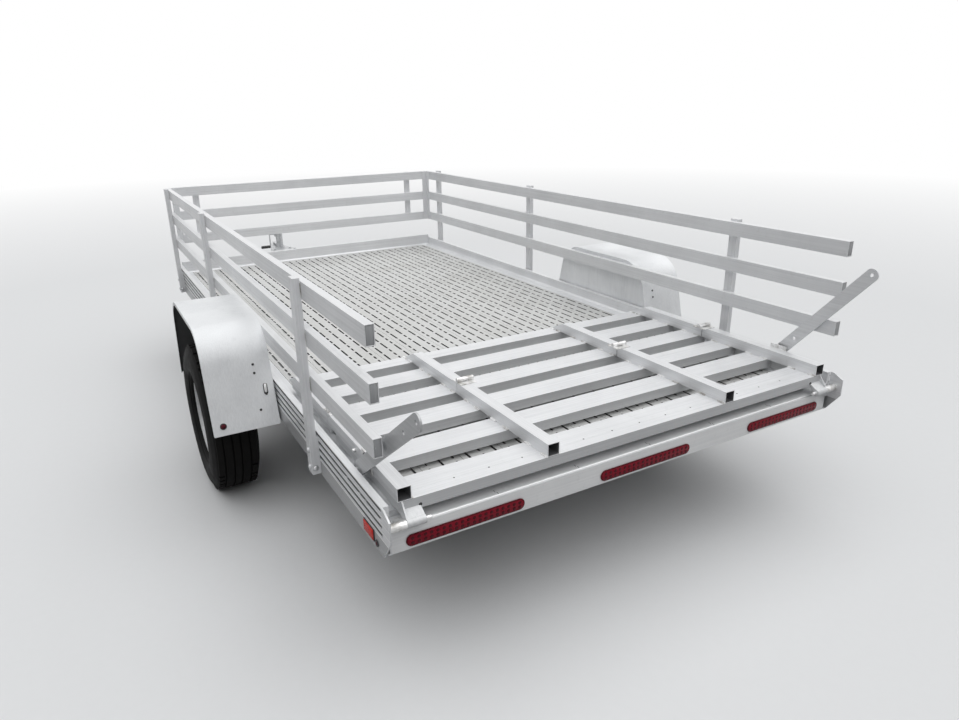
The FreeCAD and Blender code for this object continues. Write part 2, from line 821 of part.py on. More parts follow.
def coupler_latch():
    """Lever over the coupler nose."""
    top = side_bottom + coupler_plate
    front = station(coupler_nose_station) - coupler_nose_radius
    stem = box(front - latch_width / 2, front + latch_width / 2, -latch_width / 2,
               latch_width / 2, top, top + latch_stem)
    lever = box(front - latch_length, front + latch_width / 2, -latch_width / 2, latch_width / 2,
                top + latch_stem, top + latch_stem + latch_thickness)
    return fused([stem, lever])


def jack_housing():
    """Jack tube with its cap, side gearbox and mounting collar on the coupler plate."""
    at = station(jack_station)
    bore = jack_leg_radius + jack_running_fit
    tube = cylinder(jack_tube_radius, Vector(at, 0, jack_tube_bottom), Z_AXIS,
                    jack_tube_top - jack_tube_bottom)
    tube = tube.cut(cylinder(bore, Vector(at, 0, jack_tube_bottom), Z_AXIS,
                             jack_tube_top - jack_tube_bottom - jack_cap))
    gear_low = jack_tube_top - jack_gearbox_height
    gearbox = box(at - jack_gearbox_reach, at + jack_gearbox_reach, 0,
                  jack_tube_radius + jack_gearbox_reach / 2, gear_low, jack_tube_top)
    gearbox = gearbox.cut(cylinder(jack_tube_radius - jack_cap / 2, Vector(at, 0, gear_low),
                                   Z_AXIS, jack_gearbox_height))
    collar_low = side_bottom + coupler_plate
    collar = cylinder(jack_tube_radius + jack_collar_rim, Vector(at, 0, collar_low), Z_AXIS,
                      jack_cap)
    collar = collar.cut(cylinder(jack_tube_radius - jack_cap / 2, Vector(at, 0, collar_low),
                                 Z_AXIS, jack_cap))
    return fused([tube, gearbox, collar])


def jack_crank():
    """Side crank of the jack: shaft, hanging arm and grip."""
    at = station(jack_station)
    start = jack_tube_radius + jack_gearbox_reach / 2
    height = jack_tube_top - jack_gearbox_height / 2
    end = start + crank_shaft_length
    shaft = cylinder(crank_shaft_radius, Vector(at, start, height), Y_AXIS, crank_shaft_length)
    half = crank_arm_width / 2
    arm = box(at - half, at + half, end, end + crank_arm_thickness,
              height - crank_arm_length, height + half)
    grip = cylinder(crank_grip_radius, Vector(at, end + crank_arm_thickness,
                                              height - crank_arm_length + half),
                    Y_AXIS, crank_grip_length)
    return fused([shaft, arm, grip])


def jack_leg():
    """Inner tube of the jack, standing on the boss of its foot."""
    foot = Vector(station(jack_station), 0, jack_foot_thickness + jack_foot_boss)
    height = jack_tube_bottom + jack_leg_engagement - foot.z
    leg = cylinder(jack_leg_radius, foot, Z_AXIS, height)
    return leg.cut(cylinder(jack_leg_radius - jack_leg_wall, foot, Z_AXIS, height))


def jack_foot():
    """Square foot plate with a round boss, down on the ground."""
    at = station(jack_station)
    half = jack_foot_size / 2
    plate = box(at - half, at + half, -half, half, 0, jack_foot_thickness)
    boss = cylinder(jack_leg_radius + jack_leg_wall, Vector(at, 0, jack_foot_thickness), Z_AXIS,
                    jack_foot_boss)
    return fused([plate, boss])


def ramp_tubes(rear_station, front_station, mitred):
    """Four lengthwise tubes on the slats; a mitred tip lies flat on the ground in use."""
    half = ramp_tube_size / 2
    tip_cut = ramp_tube_size / math.tan(math.radians(ramp_down_slope_deg))
    tubes = []
    for offset in ramp_tube_half:
        for side in (1, -1):
            tube = tube_x(station(rear_station), station(front_station),
                          side * offset - half, side * offset + half, slat_top, tube_top,
                          ramp_tube_wall)
            if mitred:
                cutter = extrude_y([(station(front_station), slat_top),
                                    (station(front_station), tube_top),
                                    (station(front_station - tip_cut), tube_top)],
                                   side * offset - half, side * offset + half)
                tube = tube.cut(cutter)
            tubes.append(tube)
    return Part.makeCompound(tubes)


def ramp_slats(table):
    """Hollow cross slats from rows of rear station and width."""
    return Part.makeCompound([
        tube_y(station(rear), station(rear + width), -slat_half_length, slat_half_length,
               slat_bottom, slat_top, slat_wall)
        for rear, width in table])


def hinge_axis(half_width):
    return Vector(station(0) - hinge_back, half_width, hinge_height)


def frame_hinge():
    """Left fixed hinge barrel between bumper and ear, with its bracket and its pin."""
    near, far = frame_barrel_half_span
    axis = hinge_axis(0)
    bracket = extrude_y([(station(bumper_ledge_rise), bumper_ledge),
                         (station(bumper_depth / 2), bumper_ledge),
                         (station(bumper_depth / 2), bumper_ledge + hinge_barrel_radius),
                         (axis.x, axis.z + hinge_barrel_radius),
                         (axis.x, axis.z - hinge_barrel_radius)],
                        near, side_inner_half - foot_rise)
    drum = cylinder(hinge_barrel_radius, hinge_axis(near), Y_AXIS, far - near)
    pin = cylinder(hinge_pin_radius, hinge_axis(hinge_pin_end), Y_AXIS, far - hinge_pin_end)
    return fused([drum, bracket, pin])


def ramp_hinge_plate():
    """Left ramp plate: closes the slat ends and carries the moving hinge barrel."""
    near = ramp_barrel_half_span
    inner = slat_half_length
    outer = inner + ramp_plate_thickness
    axis = hinge_axis(0)
    radius = hinge_barrel_radius
    slat_rear = station(ramp_tube_rear_station)
    low = slat_bottom - ramp_plate_drop
    plate = extrude_y([(axis.x - radius, axis.z), (axis.x, axis.z - radius),
                       (station(ramp_plate_rise_station), low),
                       (station(ramp_plate_front_station), low),
                       (station(ramp_plate_front_station), slat_top),
                       (slat_rear, slat_top)], inner, outer)
    leaf = extrude_y([(axis.x, axis.z + radius), (axis.x + radius, axis.z),
                      (slat_rear, slat_bottom), (slat_rear, slat_bottom + hinge_leaf_seat)],
                     near, inner)
    drum = cylinder(radius, hinge_axis(near), Y_AXIS, outer - near)
    bore = cylinder(hinge_pin_radius + hinge_running_fit, hinge_axis(near), Y_AXIS, outer - near)
    return fused([plate, leaf, drum]).cut(bore)


def ramp_upper_plate():
    """Left edge bar along the slat ends of the upper section."""
    return box(station(upper_plate_rear_station), station(ramp_front_station), slat_half_length,
               slat_half_length + ramp_plate_thickness, slat_bottom, slat_top)


def fold_height():
    return tube_top + fold_knuckle_radius + fold_knuckle_clearance


def fold_hinge(offset, side_of_seam):
    """Half of a left fold hinge: a leaf on the tube top that carries its knuckles.

    side_of_seam is -1 for the lower section, which holds the pin and the two outer knuckles, and
    1 for the upper section's middle knuckle.
    """
    seam = station(ramp_seam_station)
    outer = offset + ramp_tube_size / 2
    pitch = fold_knuckle_length + fold_knuckle_space
    row = fold_knuckle_count * pitch - fold_knuckle_space
    near = seam + side_of_seam * (fold_knuckle_radius + fold_knuckle_space)
    far = seam + side_of_seam * fold_leaf_length
    shapes = [box(min(near, far), max(near, far), outer - row, outer, tube_top,
                  tube_top + fold_leaf_thickness)]
    slots = (0, 2) if side_of_seam < 0 else (1,)
    for slot in slots:
        low = outer - slot * pitch - fold_knuckle_length
        shapes.append(cylinder(fold_knuckle_radius, Vector(seam, low, fold_height()), Y_AXIS,
                               fold_knuckle_length))
        shapes.append(box(min(near, seam), max(near, seam), low, low + fold_knuckle_length,
                          fold_height() - fold_knuckle_radius, tube_top + fold_leaf_thickness))
    if side_of_seam < 0:
        shapes.append(cylinder(fold_pin_radius, Vector(seam, outer - row, fold_height()), Y_AXIS,
                               row))
        return fused(shapes)
    return fused(shapes).cut(cylinder(fold_pin_radius + fold_running_fit,
                                      Vector(seam, outer - row, fold_height()), Y_AXIS, row))


def fold_hinges(side_of_seam):
    """All four hinge halves of one ramp section, on both sides."""
    left = [fold_hinge(offset, side_of_seam) for offset in ramp_tube_half]
    return Part.makeCompound(left + [mirrored(shape, -1) for shape in left])


def ramp_latch():
    """Tabs beside the outer tubes with the knobs of their locking pins, and a rest pin each."""
    pieces = []
    outer = ramp_tube_half[0] + ramp_tube_size / 2
    rear = station(latch_tab_station - latch_tab_length / 2)
    front = station(latch_tab_station + latch_tab_length / 2)
    for side in (1, -1):
        tab = box(rear, front, side * outer, side * (outer + latch_tab_thickness),
                  slat_top, tube_top + latch_tab_rise)
        knob = cylinder(latch_knob_radius,
                        Vector((rear + front) / 2, side * (outer + latch_tab_thickness),
                               tube_top + latch_tab_rise - latch_knob_radius),
                        Y_AXIS * side, latch_knob_length)
        pieces.append(fused([tab, knob]))
        pieces.append(cylinder(latch_pin_radius,
                               Vector(station(latch_pin_station), side * outer,
                                      slat_top + ramp_tube_size / 2),
                               Y_AXIS * side, latch_pin_length))
    return Part.makeCompound(pieces)


def support_arm(name, side):
    """Flat support arm with rounded ends, a pivot hole, a tip hole and one between them."""
    pitch = math.radians(arm_pitch_deg[name])
    inner = side * arm_inner_half
    depth = Y_AXIS * (side * arm_bar_thickness)
    pivot = Vector(station(arm_pivot_station), inner, arm_pivot_height)
    unit = Vector(-math.cos(pitch), 0, math.sin(pitch))
    across = Vector(math.sin(pitch), 0, math.cos(pitch))
    radius = arm_bar_width / 2
    tip = pivot + unit * arm_hole_span
    corners = [pivot + across * radius, tip + across * radius, tip - across * radius,
               pivot - across * radius]
    bar = face_of(corners).extrude(depth)
    ends = [cylinder(radius, spot, Y_AXIS * side, arm_bar_thickness) for spot in (pivot, tip)]
    arm = fused([bar, *ends])
    holes = [(pivot, arm_bolt_radius + arm_bolt_fit), (tip, arm_hole_radius),
             (pivot + unit * arm_second_hole[name], arm_hole_radius)]
    return arm.cut([cylinder(r, spot, Y_AXIS * side, arm_bar_thickness) for spot, r in holes])


def arm_bolts():
    """Headed pivot bolts that stand from the inner faces of the sides."""
    head_outer = arm_inner_half - arm_bolt_head_gap
    head_inner = head_outer - arm_bolt_head_thickness
    at = Vector(station(arm_pivot_station), 0, arm_pivot_height)
    head = hexagon(arm_bolt_head_across, at + Y_AXIS * head_inner, Y_AXIS,
                   arm_bolt_head_thickness)
    shank = cylinder(arm_bolt_radius, at + Y_AXIS * head_inner, Y_AXIS,
                     side_inner_half - head_inner)
    bolt = fused([head, shank])
    return Part.makeCompound([bolt, mirrored(bolt, -1)])


def side_reflectors():
    """Rectangular reflectors and round marker lamps on the flat band of the sides."""
    pieces = []
    for side in (1, -1):
        face = side * frame_half_width
        rear = station(reflector_station - reflector_length / 2)
        front = station(reflector_station + reflector_length / 2)
        pieces.append(box(rear, front, face, face + side * reflector_thickness,
                          reflector_centre_height - reflector_height / 2,
                          reflector_centre_height + reflector_height / 2))
        pieces.append(cylinder(marker_radius, Vector(station(marker_station), face, marker_height),
                               Y_AXIS * side, reflector_thickness))
    return Part.makeCompound(pieces)


def build():
    """Every node of the trailer by name."""
    nodes = {
        "front_board": front_board(),
        "rear_bumper": rear_bumper(),
        "deck_planks": deck_planks(),
        "deck_edges": deck_edges(),
        "crossmembers": crossmembers(),
        "tail_lights": tail_lights(),
        "side_reflectors": side_reflectors(),
        "front_uprights": front_uprights(),
        "fender_lamps": fender_lamps(),
        "axle_beam": axle_beam(),
        "coupler": coupler(),
        "coupler_latch": coupler_latch(),
        "jack_housing": jack_housing(),
        "jack_crank": jack_crank(),
        "jack_leg": jack_leg(),
        "jack_foot": jack_foot(),
        "arm_bolts": arm_bolts(),
        "ramp_lower_tubes": ramp_tubes(ramp_tube_rear_station,
                                       ramp_seam_station - ramp_seam_gap / 2, False),
        "ramp_lower_slats": ramp_slats(lower_slats),
        "ramp_upper_tubes": ramp_tubes(ramp_seam_station + ramp_seam_gap / 2,
                                       ramp_front_station, True),
        "ramp_upper_slats": ramp_slats(upper_slats),
        "ramp_lower_knuckles": fold_hinges(-1),
        "ramp_upper_knuckles": fold_hinges(1),
        "ramp_latches": ramp_latch(),
    }
    both = {"tongue_beams": tongue_beam(), "torsion_arms": torsion_arm(),
            "frame_hinges": frame_hinge(), "ramp_lower_plates": ramp_hinge_plate(),
            "ramp_upper_plates": ramp_upper_plate()}
    for name, left in both.items():
        nodes[name] = Part.makeCompound([left, mirrored(left, -1)])
    each = {"side_frame": side_frame(), "side_posts": side_posts(), "fender": fender(),
            "hub": hub(), "rim": rim(), "tyre": tyre()}
    for name, side in SIDES:
        for node, left in each.items():
            nodes[f"{node}_{name}"] = mirrored(left, side)
        nodes[f"support_arm_{name}"] = support_arm(name, side)
        nodes[f"side_rails_{name}"] = Part.makeCompound([side_rail(top, side) for top in rail_tops])
    nodes["front_rails"] = Part.makeCompound([front_rail(top) for top in rail_tops])
    return nodes


for node, shape in build().items():
    shape.exportStep(f"parts/{node}.step")
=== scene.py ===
import logging
import math
from dataclasses import dataclass
from enum import Enum
from typing import Iterable, Protocol, Sequence, Union

import bmesh
import bpy
from mathutils import Matrix, Vector


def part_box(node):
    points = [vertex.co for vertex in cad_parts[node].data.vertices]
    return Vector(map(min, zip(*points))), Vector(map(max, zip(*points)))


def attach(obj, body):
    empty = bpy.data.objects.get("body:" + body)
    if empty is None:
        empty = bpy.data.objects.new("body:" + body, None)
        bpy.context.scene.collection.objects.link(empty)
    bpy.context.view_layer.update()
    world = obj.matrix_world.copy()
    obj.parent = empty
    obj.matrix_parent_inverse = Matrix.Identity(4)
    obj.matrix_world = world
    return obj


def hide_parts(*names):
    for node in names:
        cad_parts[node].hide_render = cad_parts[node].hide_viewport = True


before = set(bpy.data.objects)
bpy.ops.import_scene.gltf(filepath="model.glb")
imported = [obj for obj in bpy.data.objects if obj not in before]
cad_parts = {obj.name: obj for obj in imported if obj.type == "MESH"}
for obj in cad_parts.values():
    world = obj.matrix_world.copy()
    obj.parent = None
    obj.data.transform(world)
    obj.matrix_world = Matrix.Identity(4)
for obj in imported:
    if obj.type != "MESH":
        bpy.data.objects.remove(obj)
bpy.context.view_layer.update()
LOG = logging.getLogger("trailer")

Colour = tuple[float, float, float]
Number = Union[float, "Wire"]
Setting = Union[str, bool]
Scale = Union[float, tuple[float, ...]]

MM = 0.001
REAR_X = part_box("rear_bumper")[0].x
FRONT_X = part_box("side_frame_left")[1].x
X_AXIS = Vector((1.0, 0.0, 0.0))
Y_AXIS = Vector((0.0, 1.0, 0.0))
Z_AXIS = Vector((0.0, 0.0, 1.0))


class Wire:
    """Output of a shader node, with arithmetic that adds Math nodes."""

    def __init__(self, graph: "Graph", socket: bpy.types.NodeSocket) -> None:
        """Keeps the graph to add nodes to and the socket to link from."""
        self.graph = graph
        self.socket = socket

    def _math(self, operation: str, first: Number, second: Number = 0.0) -> "Wire":
        """One Math node on two numbers.

        Args:
            operation: Name of the Math node's operation.
            first: Number or wire for the first socket.
            second: Number or wire for the second socket.

        Returns:
            The node's value.
        """
        node = self.graph.add("ShaderNodeMath", {"operation": operation}, {0: first, 1: second})
        return Wire(self.graph, node.outputs[0])

    def __add__(self, other: Number) -> "Wire":
        """Sum of this value and another."""
        return self._math("ADD", self, other)

    def __radd__(self, other: Number) -> "Wire":
        """Sum of another value and this one."""
        return self._math("ADD", other, self)

    def __sub__(self, other: Number) -> "Wire":
        """This value less another."""
        return self._math("SUBTRACT", self, other)

    def __rsub__(self, other: Number) -> "Wire":
        """Another value less this one."""
        return self._math("SUBTRACT", other, self)

    def __mul__(self, other: Number) -> "Wire":
        """Product of this value and another."""
        return self._math("MULTIPLY", self, other)

    def __rmul__(self, other: Number) -> "Wire":
        """Product of another value and this one."""
        return self._math("MULTIPLY", other, self)

    def size(self) -> "Wire":
        """This value without its sign."""
        return self._math("ABSOLUTE", self)

    def spread(self, low: float, high: float) -> "Wire":
        """Stretches the band between two values over 0 to 1.

        Args:
            low: Value that becomes 0.
            high: Value that becomes 1, which may be the smaller of the two.

        Returns:
            The stretched value, clamped to 0 to 1.
        """
        node = self.graph.add("ShaderNodeMapRange", {"clamp": True},
                              {"Value": self, "From Min": low, "From Max": high})
        return Wire(self.graph, node.outputs[0])

    def within(self, low: float, high: float, fade: float = 0.001) -> "Wire":
        """Mask of a band of values.

        Args:
            low: Lower end of the band.
            high: Upper end of the band.
            fade: Width of the fall from 1 to 0 inside each end.

        Returns:
            1 in the band, 0 outside it.
        """
        return self.spread(low, low + fade) * self.spread(high, high - fade)


class Graph:
    """Node tree of a material or the world."""

    def __init__(self, owner: Union[bpy.types.Material, bpy.types.World]) -> None:
        """Empties the owner's node tree."""
        owner.use_nodes = True
        self.owner = owner
        self.tree = owner.node_tree
        self.tree.nodes.clear()

    @classmethod
    def of_material(cls, name: str) -> "Graph":
        """Graph of a new material with that name."""
        return cls(bpy.data.materials.new(name))

    def add(self, kind: str, settings: dict[str, Setting],
            inputs: dict[Union[str, int], Union[Number, Sequence]]) -> bpy.types.Node:
        """Adds one node.

        Args:
            kind: Blender's type name of the node.
            settings: Node properties, set before its sockets.
            inputs: Value or wire of each socket, by name or index.

        Returns:
            The node.
        """
        node = self.tree.nodes.new(kind)
        for key, value in settings.items():
            setattr(node, key, value)
        for key, value in inputs.items():
            if isinstance(value, Wire):
                self.tree.links.new(value.socket, node.inputs[key])
            else:
                node.inputs[key].default_value = value
        return node

    def place(self, scale: Scale = 1.0, lean: float = 0.0,
              centre: Sequence[float] = (0.0, 0.0, 0.0)) -> Wire:
        """Object coordinates, turned about Y, moved and scaled.

        Args:
            scale: Pattern cells per metre, one number or one for each axis.
            lean: Turn about Y in radians.
            centre: Place that becomes the pattern's origin, after the turn and the scale.

        Returns:
            The coordinates.
        """
        source = self.add("ShaderNodeTexCoord", {}, {})
        node = self.add("ShaderNodeMapping", {"vector_type": "POINT"},
                        {"Vector": Wire(self, source.outputs["Object"]),
                         "Location": [-value for value in centre], "Rotation": (0.0, lean, 0.0),
                         "Scale": scale if isinstance(scale, tuple) else (scale,) * 3})
        return Wire(self, node.outputs[0])

    def axes(self, vector: Wire) -> tuple[Wire, ...]:
        """A vector's X, Y and Z as three values."""
        parts = self.add("ShaderNodeSeparateXYZ", {}, {0: vector})
        return tuple(Wire(self, output) for output in parts.outputs)

    def measure(self, operation: str, *vectors: Wire) -> Wire:
        """Number worked out from vectors, such as a length or a dot product."""
        node = self.add("ShaderNodeVectorMath", {"operation": operation},
                        dict(enumerate(vectors)))
        return Wire(self, node.outputs["Value"])

    def noise(self, scale: Scale, detail: float = 2.0, lean: float = 0.0) -> Wire:
        """Soft random value about 0.5.

        Args:
            scale: Cells per metre, one number or one for each axis.
            detail: Layers of finer noise.
            lean: Turn about Y in radians.

        Returns:
            The value.
        """
        node = self.add("ShaderNodeTexNoise", {}, {"Vector": self.place(scale, lean), "Scale": 1.0,
                                                   "Detail": detail, "Roughness": 0.55})
        return Wire(self, node.outputs[0])

    def cells(self, scale: Scale, lean: float = 0.0, jitter: float = 1.0) -> Wire:
        """Distance from the middles of a cell pattern.

        Args:
            scale: Cells per metre, one number or one for each axis.
            lean: Turn about Y in radians.
            jitter: 0 for a regular grid, 1 for random cells.

        Returns:
            The distance in cells.
        """
        node = self.add("ShaderNodeTexVoronoi", {"feature": "F1"},
                        {"Vector": self.place(scale, lean), "Scale": 1.0, "Randomness": jitter})
        return Wire(self, node.outputs["Distance"])

    def waves(self, vector: Wire, scale: float, **settings: str) -> Wire:
        """Sine wave from 0 to 1 over coordinates."""
        node = self.add("ShaderNodeTexWave", {"wave_profile": "SIN", **settings},
                        {"Vector": vector, "Scale": scale, "Distortion": 0.0})
        return Wire(self, node.outputs["Fac"])

    def mix(self, factor: Number, first: Union[Wire, Colour], second: Union[Wire, Colour]) -> Wire:
        """Blend of two colours.

        Args:
            factor: 0 for the first colour, 1 for the second.
            first: Colour or wire.
            second: Colour or wire.

        Returns:
            The blended colour.
        """
        whole = [value if isinstance(value, Wire) else (*value, 1.0) for value in (first, second)]
        node = self.add("ShaderNodeMix", {"data_type": "RGBA"},
                        {0: factor, 6: whole[0], 7: whole[1]})
        return Wire(self, node.outputs[2])

    def normal(self) -> Wire:
        """Direction in which a face looks, in the object's axes."""
        return Wire(self, self.add("ShaderNodeTexCoord", {}, {}).outputs["Normal"])

    def facing(self, spot: Sequence[float]) -> Wire:
        """1 on faces that look towards a place, 0 on those that look away."""
        away = self.measure("DOT_PRODUCT", self.normal(), self.place(centre=spot))
        return away.spread(0.0, -0.004)

    def seen(self) -> Wire:
        """1 for the camera and for reflections, 0 for light that bounces."""
        path = self.add("ShaderNodeLightPath", {}, {})
        rays = Wire(self, path.outputs["Is Camera Ray"])
        for key in ("Is Glossy Ray", "Is Transmission Ray"):
            rays = rays + Wire(self, path.outputs[key])
        return rays.spread(0.0, 1.0)

    def bump(self, height: Wire, strength: float, distance: float) -> Wire:
        """Normal that follows a height.

        Args:
            height: Height from 0 to 1.
            strength: Share of the effect.
            distance: Depth in metres of a height of 1.

        Returns:
            The normal.
        """
        node = self.add("ShaderNodeBump", {}, {"Height": height, "Strength": strength,
                                               "Distance": distance})
        return Wire(self, node.outputs[0])

    def surface(self, **sockets: Union[Number, Sequence]) -> bpy.types.Material:
        """Ends the material in a Principled shader.

        Args:
            sockets: Values or wires, with underscores for the spaces of a socket's name.

        Returns:
            The finished material.
        """
        shader = self.add("ShaderNodeBsdfPrincipled", {},
                          {key.replace("_", " "): value for key, value in sockets.items()})
        self.add("ShaderNodeOutputMaterial", {}, {"Surface": Wire(self, shader.outputs[0])})
        return self.owner


class Finish(Protocol):
    """What every finish offers."""

    name: str
    slot: str

    def material(self) -> bpy.types.Material:
        """Builds the material."""


class Mark(Protocol):
    """Dirt, wear, painted shade and painted highlights that lie on part of a finish."""

    def over(self, graph: Graph, colour: Wire) -> Wire:
        """Lays the mark over a colour."""


class Grain(Enum):
    """Axis along which a piece was extruded or brushed."""

    LENGTH = 0
    WIDTH = 1
    HEIGHT = 2

    def stretch(self, along: float, across: float) -> tuple[float, ...]:
        """Pattern scale that is coarse along the grain.

        Args:
            along: Cells per metre along the grain.
            across: Cells per metre across it.

        Returns:
            Scale on X, Y and Z.
        """
        return tuple(along if axis == self.value else across for axis in range(3))


@dataclass(frozen=True)
class UprightShade:
    """Painted shade on faces that don't look up, darker on those that look half up. In metres.

    It lies further from the trailer's middle than nearest_half, and lower than top.
    """

    weight: float
    nearest_half: float = -1.0
    top: float = 9.0
    painted_shade: Colour = (0.20, 0.205, 0.21)

    def over(self, graph: Graph, colour: Wire) -> Wire:
        """Lays the painted shade over a colour."""
        _, y, z = graph.axes(graph.place())
        rise = graph.axes(graph.normal())[2]
        # How much painted shade a face takes, by how far it looks up
        thickness = (rise * 4.0 + 1.0) * rise.spread(0.95, 0.75) * self.weight
        outside = y.size().spread(self.nearest_half - MM, self.nearest_half)
        return graph.mix(thickness * outside * z.spread(self.top, self.top - MM), colour,
                         self.painted_shade)


@dataclass(frozen=True)
class SlotShadeAndSillHighlights:
    """Painted shade in a side's T-slots, and painted highlights on the sills under their mouths.
    In metres.
    """

    face: float = 0.981
    lip: float = 0.002
    depth: float = 0.011
    band: tuple[float, float] = (0.4855, 0.5825)
    sills: tuple[float, ...] = (0.5677, 0.5407, 0.5137, 0.4867)
    painted_shade: Colour = (0.07, 0.07, 0.072)
    worn: Colour = (0.95, 0.95, 0.95)

    def over(self, graph: Graph, colour: Wire) -> Wire:
        """Paints shade into the slots behind the face and paints highlights on the sills on it."""
        x, y, z = graph.axes(graph.place())
        half = y.size()
        inside = (half.within(self.face - self.depth, self.face - self.lip)
                  * z.within(*self.band) * x.within(REAR_X, FRONT_X))
        near: Number = 0.0
        for sill in self.sills:
            near = near + (z - sill).size().spread(0.0020, 0.0012)
        outside = half.spread(self.face - self.lip - 0.0002, self.face - self.lip + 0.0002)
        # Painted shade inside the slots, then a painted highlight along each sill
        colour = graph.mix(inside * 0.8, colour, self.painted_shade)
        return graph.mix(near * outside * 0.9, colour, self.worn)


@dataclass(frozen=True)
class TubeHollowShade:
    """Painted shade on the inner walls of the ramp's tubes. In metres."""

    middles: tuple[float, ...] = (0.906, 0.394)
    half: float = 0.0202
    band: tuple[float, float] = (0.5913, 0.6317)
    hollow_shade: Colour = (0.04, 0.04, 0.045)

    def over(self, graph: Graph, colour: Wire) -> Wire:
        """Paints shade into the hollows."""
        _, y, z = graph.axes(graph.place())
        fade = 0.0005
        near: Number = 0.0
        for middle in self.middles:
            near = near + (y.size() - middle).size().spread(self.half, self.half - fade)
        return graph.mix(near * z.within(*self.band, fade) * 0.85, colour, self.hollow_shade)


@dataclass(frozen=True)
class MillAluminium:
    """Mill-finish extrusion: die lines along its grain, dull patches, stains and scuffs."""

    name: str
    grain: Grain
    lean_deg: float = 0.0
    marks: tuple[Mark, ...] = ()
    slot: str = "aluminium"
    bright: Colour = (0.83, 0.84, 0.855)
    dull: Colour = (0.70, 0.71, 0.725)
    stain: Colour = (0.55, 0.55, 0.545)
    scuff: Colour = (0.90, 0.90, 0.91)

    def material(self) -> bpy.types.Material:
        """Builds the aluminium's material."""
        graph = Graph.of_material(self.name)
        lean = math.radians(self.lean_deg)
        lines = graph.noise(self.grain.stretch(1.1, 150.0), 3.0, lean)
        hairs = graph.noise(self.grain.stretch(6.0, 900.0), 2.0, lean)
        patches = graph.noise(5.0, 3.0)
        stains = graph.noise(38.0, 4.0).spread(0.60, 0.74)
        scuffs = graph.cells(self.grain.stretch(11.0, 60.0), lean + 0.12).spread(0.05, 0.02)
        tone = (lines * 0.45 + hairs * 0.2 + patches * 0.35).spread(0.37, 0.63)
        colour = graph.mix(tone, self.dull, self.bright)
        colour = graph.mix(stains * 0.2, colour, self.stain)
        colour = graph.mix(scuffs * 0.4, colour, self.scuff)
        for mark in self.marks:
            colour = mark.over(graph, colour)
        return graph.surface(Base_Color=colour, Metallic=0.2,
                             Roughness=0.40 - tone * 0.08 + stains * 0.12 + scuffs * 0.1,
                             Normal=graph.bump(lines * 0.6 + hairs * 0.4, 0.16, 0.0005))


@dataclass(frozen=True)
class WeldedAluminium:
    """Bright cast or welded aluminium with a lumpy skin and a faint bead colour."""

    name: str = "welded_aluminium"
    slot: str = "aluminium"
    bright: Colour = (0.86, 0.86, 0.86)
    sooty: Colour = (0.34, 0.33, 0.31)

    def material(self) -> bpy.types.Material:
        """Builds the weld's material."""
        graph = Graph.of_material(self.name)
        lumps = graph.noise(160.0, 3.0)
        soot = graph.noise(28.0, 3.0).spread(0.42, 0.72)
        return graph.surface(Base_Color=graph.mix(soot, self.bright, self.sooty), Metallic=0.6,
                             Roughness=0.30 + soot * 0.25,
                             Normal=graph.bump(lumps, 0.5, 0.0008))


@dataclass(frozen=True)
class DeckAluminium:
    """Walked-on deck: fine ribbing along the planks, dusty patches, long scuffs."""

    name: str = "deck_aluminium_worn"
    slot: str = "deck_aluminium"
    clean: Colour = (0.64, 0.645, 0.64)
    dusty: Colour = (0.53, 0.53, 0.52)
    speck: Colour = (0.30, 0.29, 0.28)
    scuff: Colour = (0.80, 0.80, 0.80)
    ridge_pitch: float = 0.0083

    def material(self) -> bpy.types.Material:
        """Builds the deck's material."""
        graph = Graph.of_material(self.name)
        along = graph.noise((1.6, 90.0, 90.0), 3.0)
        dust = graph.noise(3.0, 5.0).spread(0.38, 0.66)
        specks = graph.noise(130.0, 3.0).spread(0.60, 0.72)
        scuffs = graph.cells((7.0, 42.0, 20.0)).spread(0.07, 0.03)
        ridge = graph.waves(graph.place(), 1 / self.ridge_pitch / math.pi / 2,
                            bands_direction="Y")
        colour = graph.mix(dust * 0.7 + along * 0.3, self.clean, self.dusty)
        colour = graph.mix(specks * 0.4, colour, self.speck)
        colour = graph.mix(scuffs * 0.45, colour, self.scuff)
        return graph.surface(Base_Color=colour, Metallic=0.25,
                             Roughness=0.46 + dust * 0.15 - scuffs * 0.08,
                             Normal=graph.bump(ridge * 0.6 + along * 0.4, 0.35, 0.0007))


@dataclass(frozen=True)
class DeckShade:
    """Painted shade that darkens the slots' walls and the undersides of the planks."""

    name: str = "deck_painted_shade"
    slot: str = "deck_aluminium"
    deep_shade: Colour = (0.018, 0.018, 0.017)
    soft_shade: Colour = (0.060, 0.058, 0.055)

    def material(self) -> bpy.types.Material:
        """Builds the painted shade's material."""
        graph = Graph.of_material(self.name)
        shade_patches = graph.noise(9.0, 5.0).spread(0.35, 0.65)
        grit = graph.noise(240.0)
        return graph.surface(Base_Color=graph.mix(shade_patches, self.deep_shade, self.soft_shade), Metallic=0.1,
                             Roughness=0.6 + grit * 0.2, Normal=graph.bump(grit, 0.4, 0.0006))


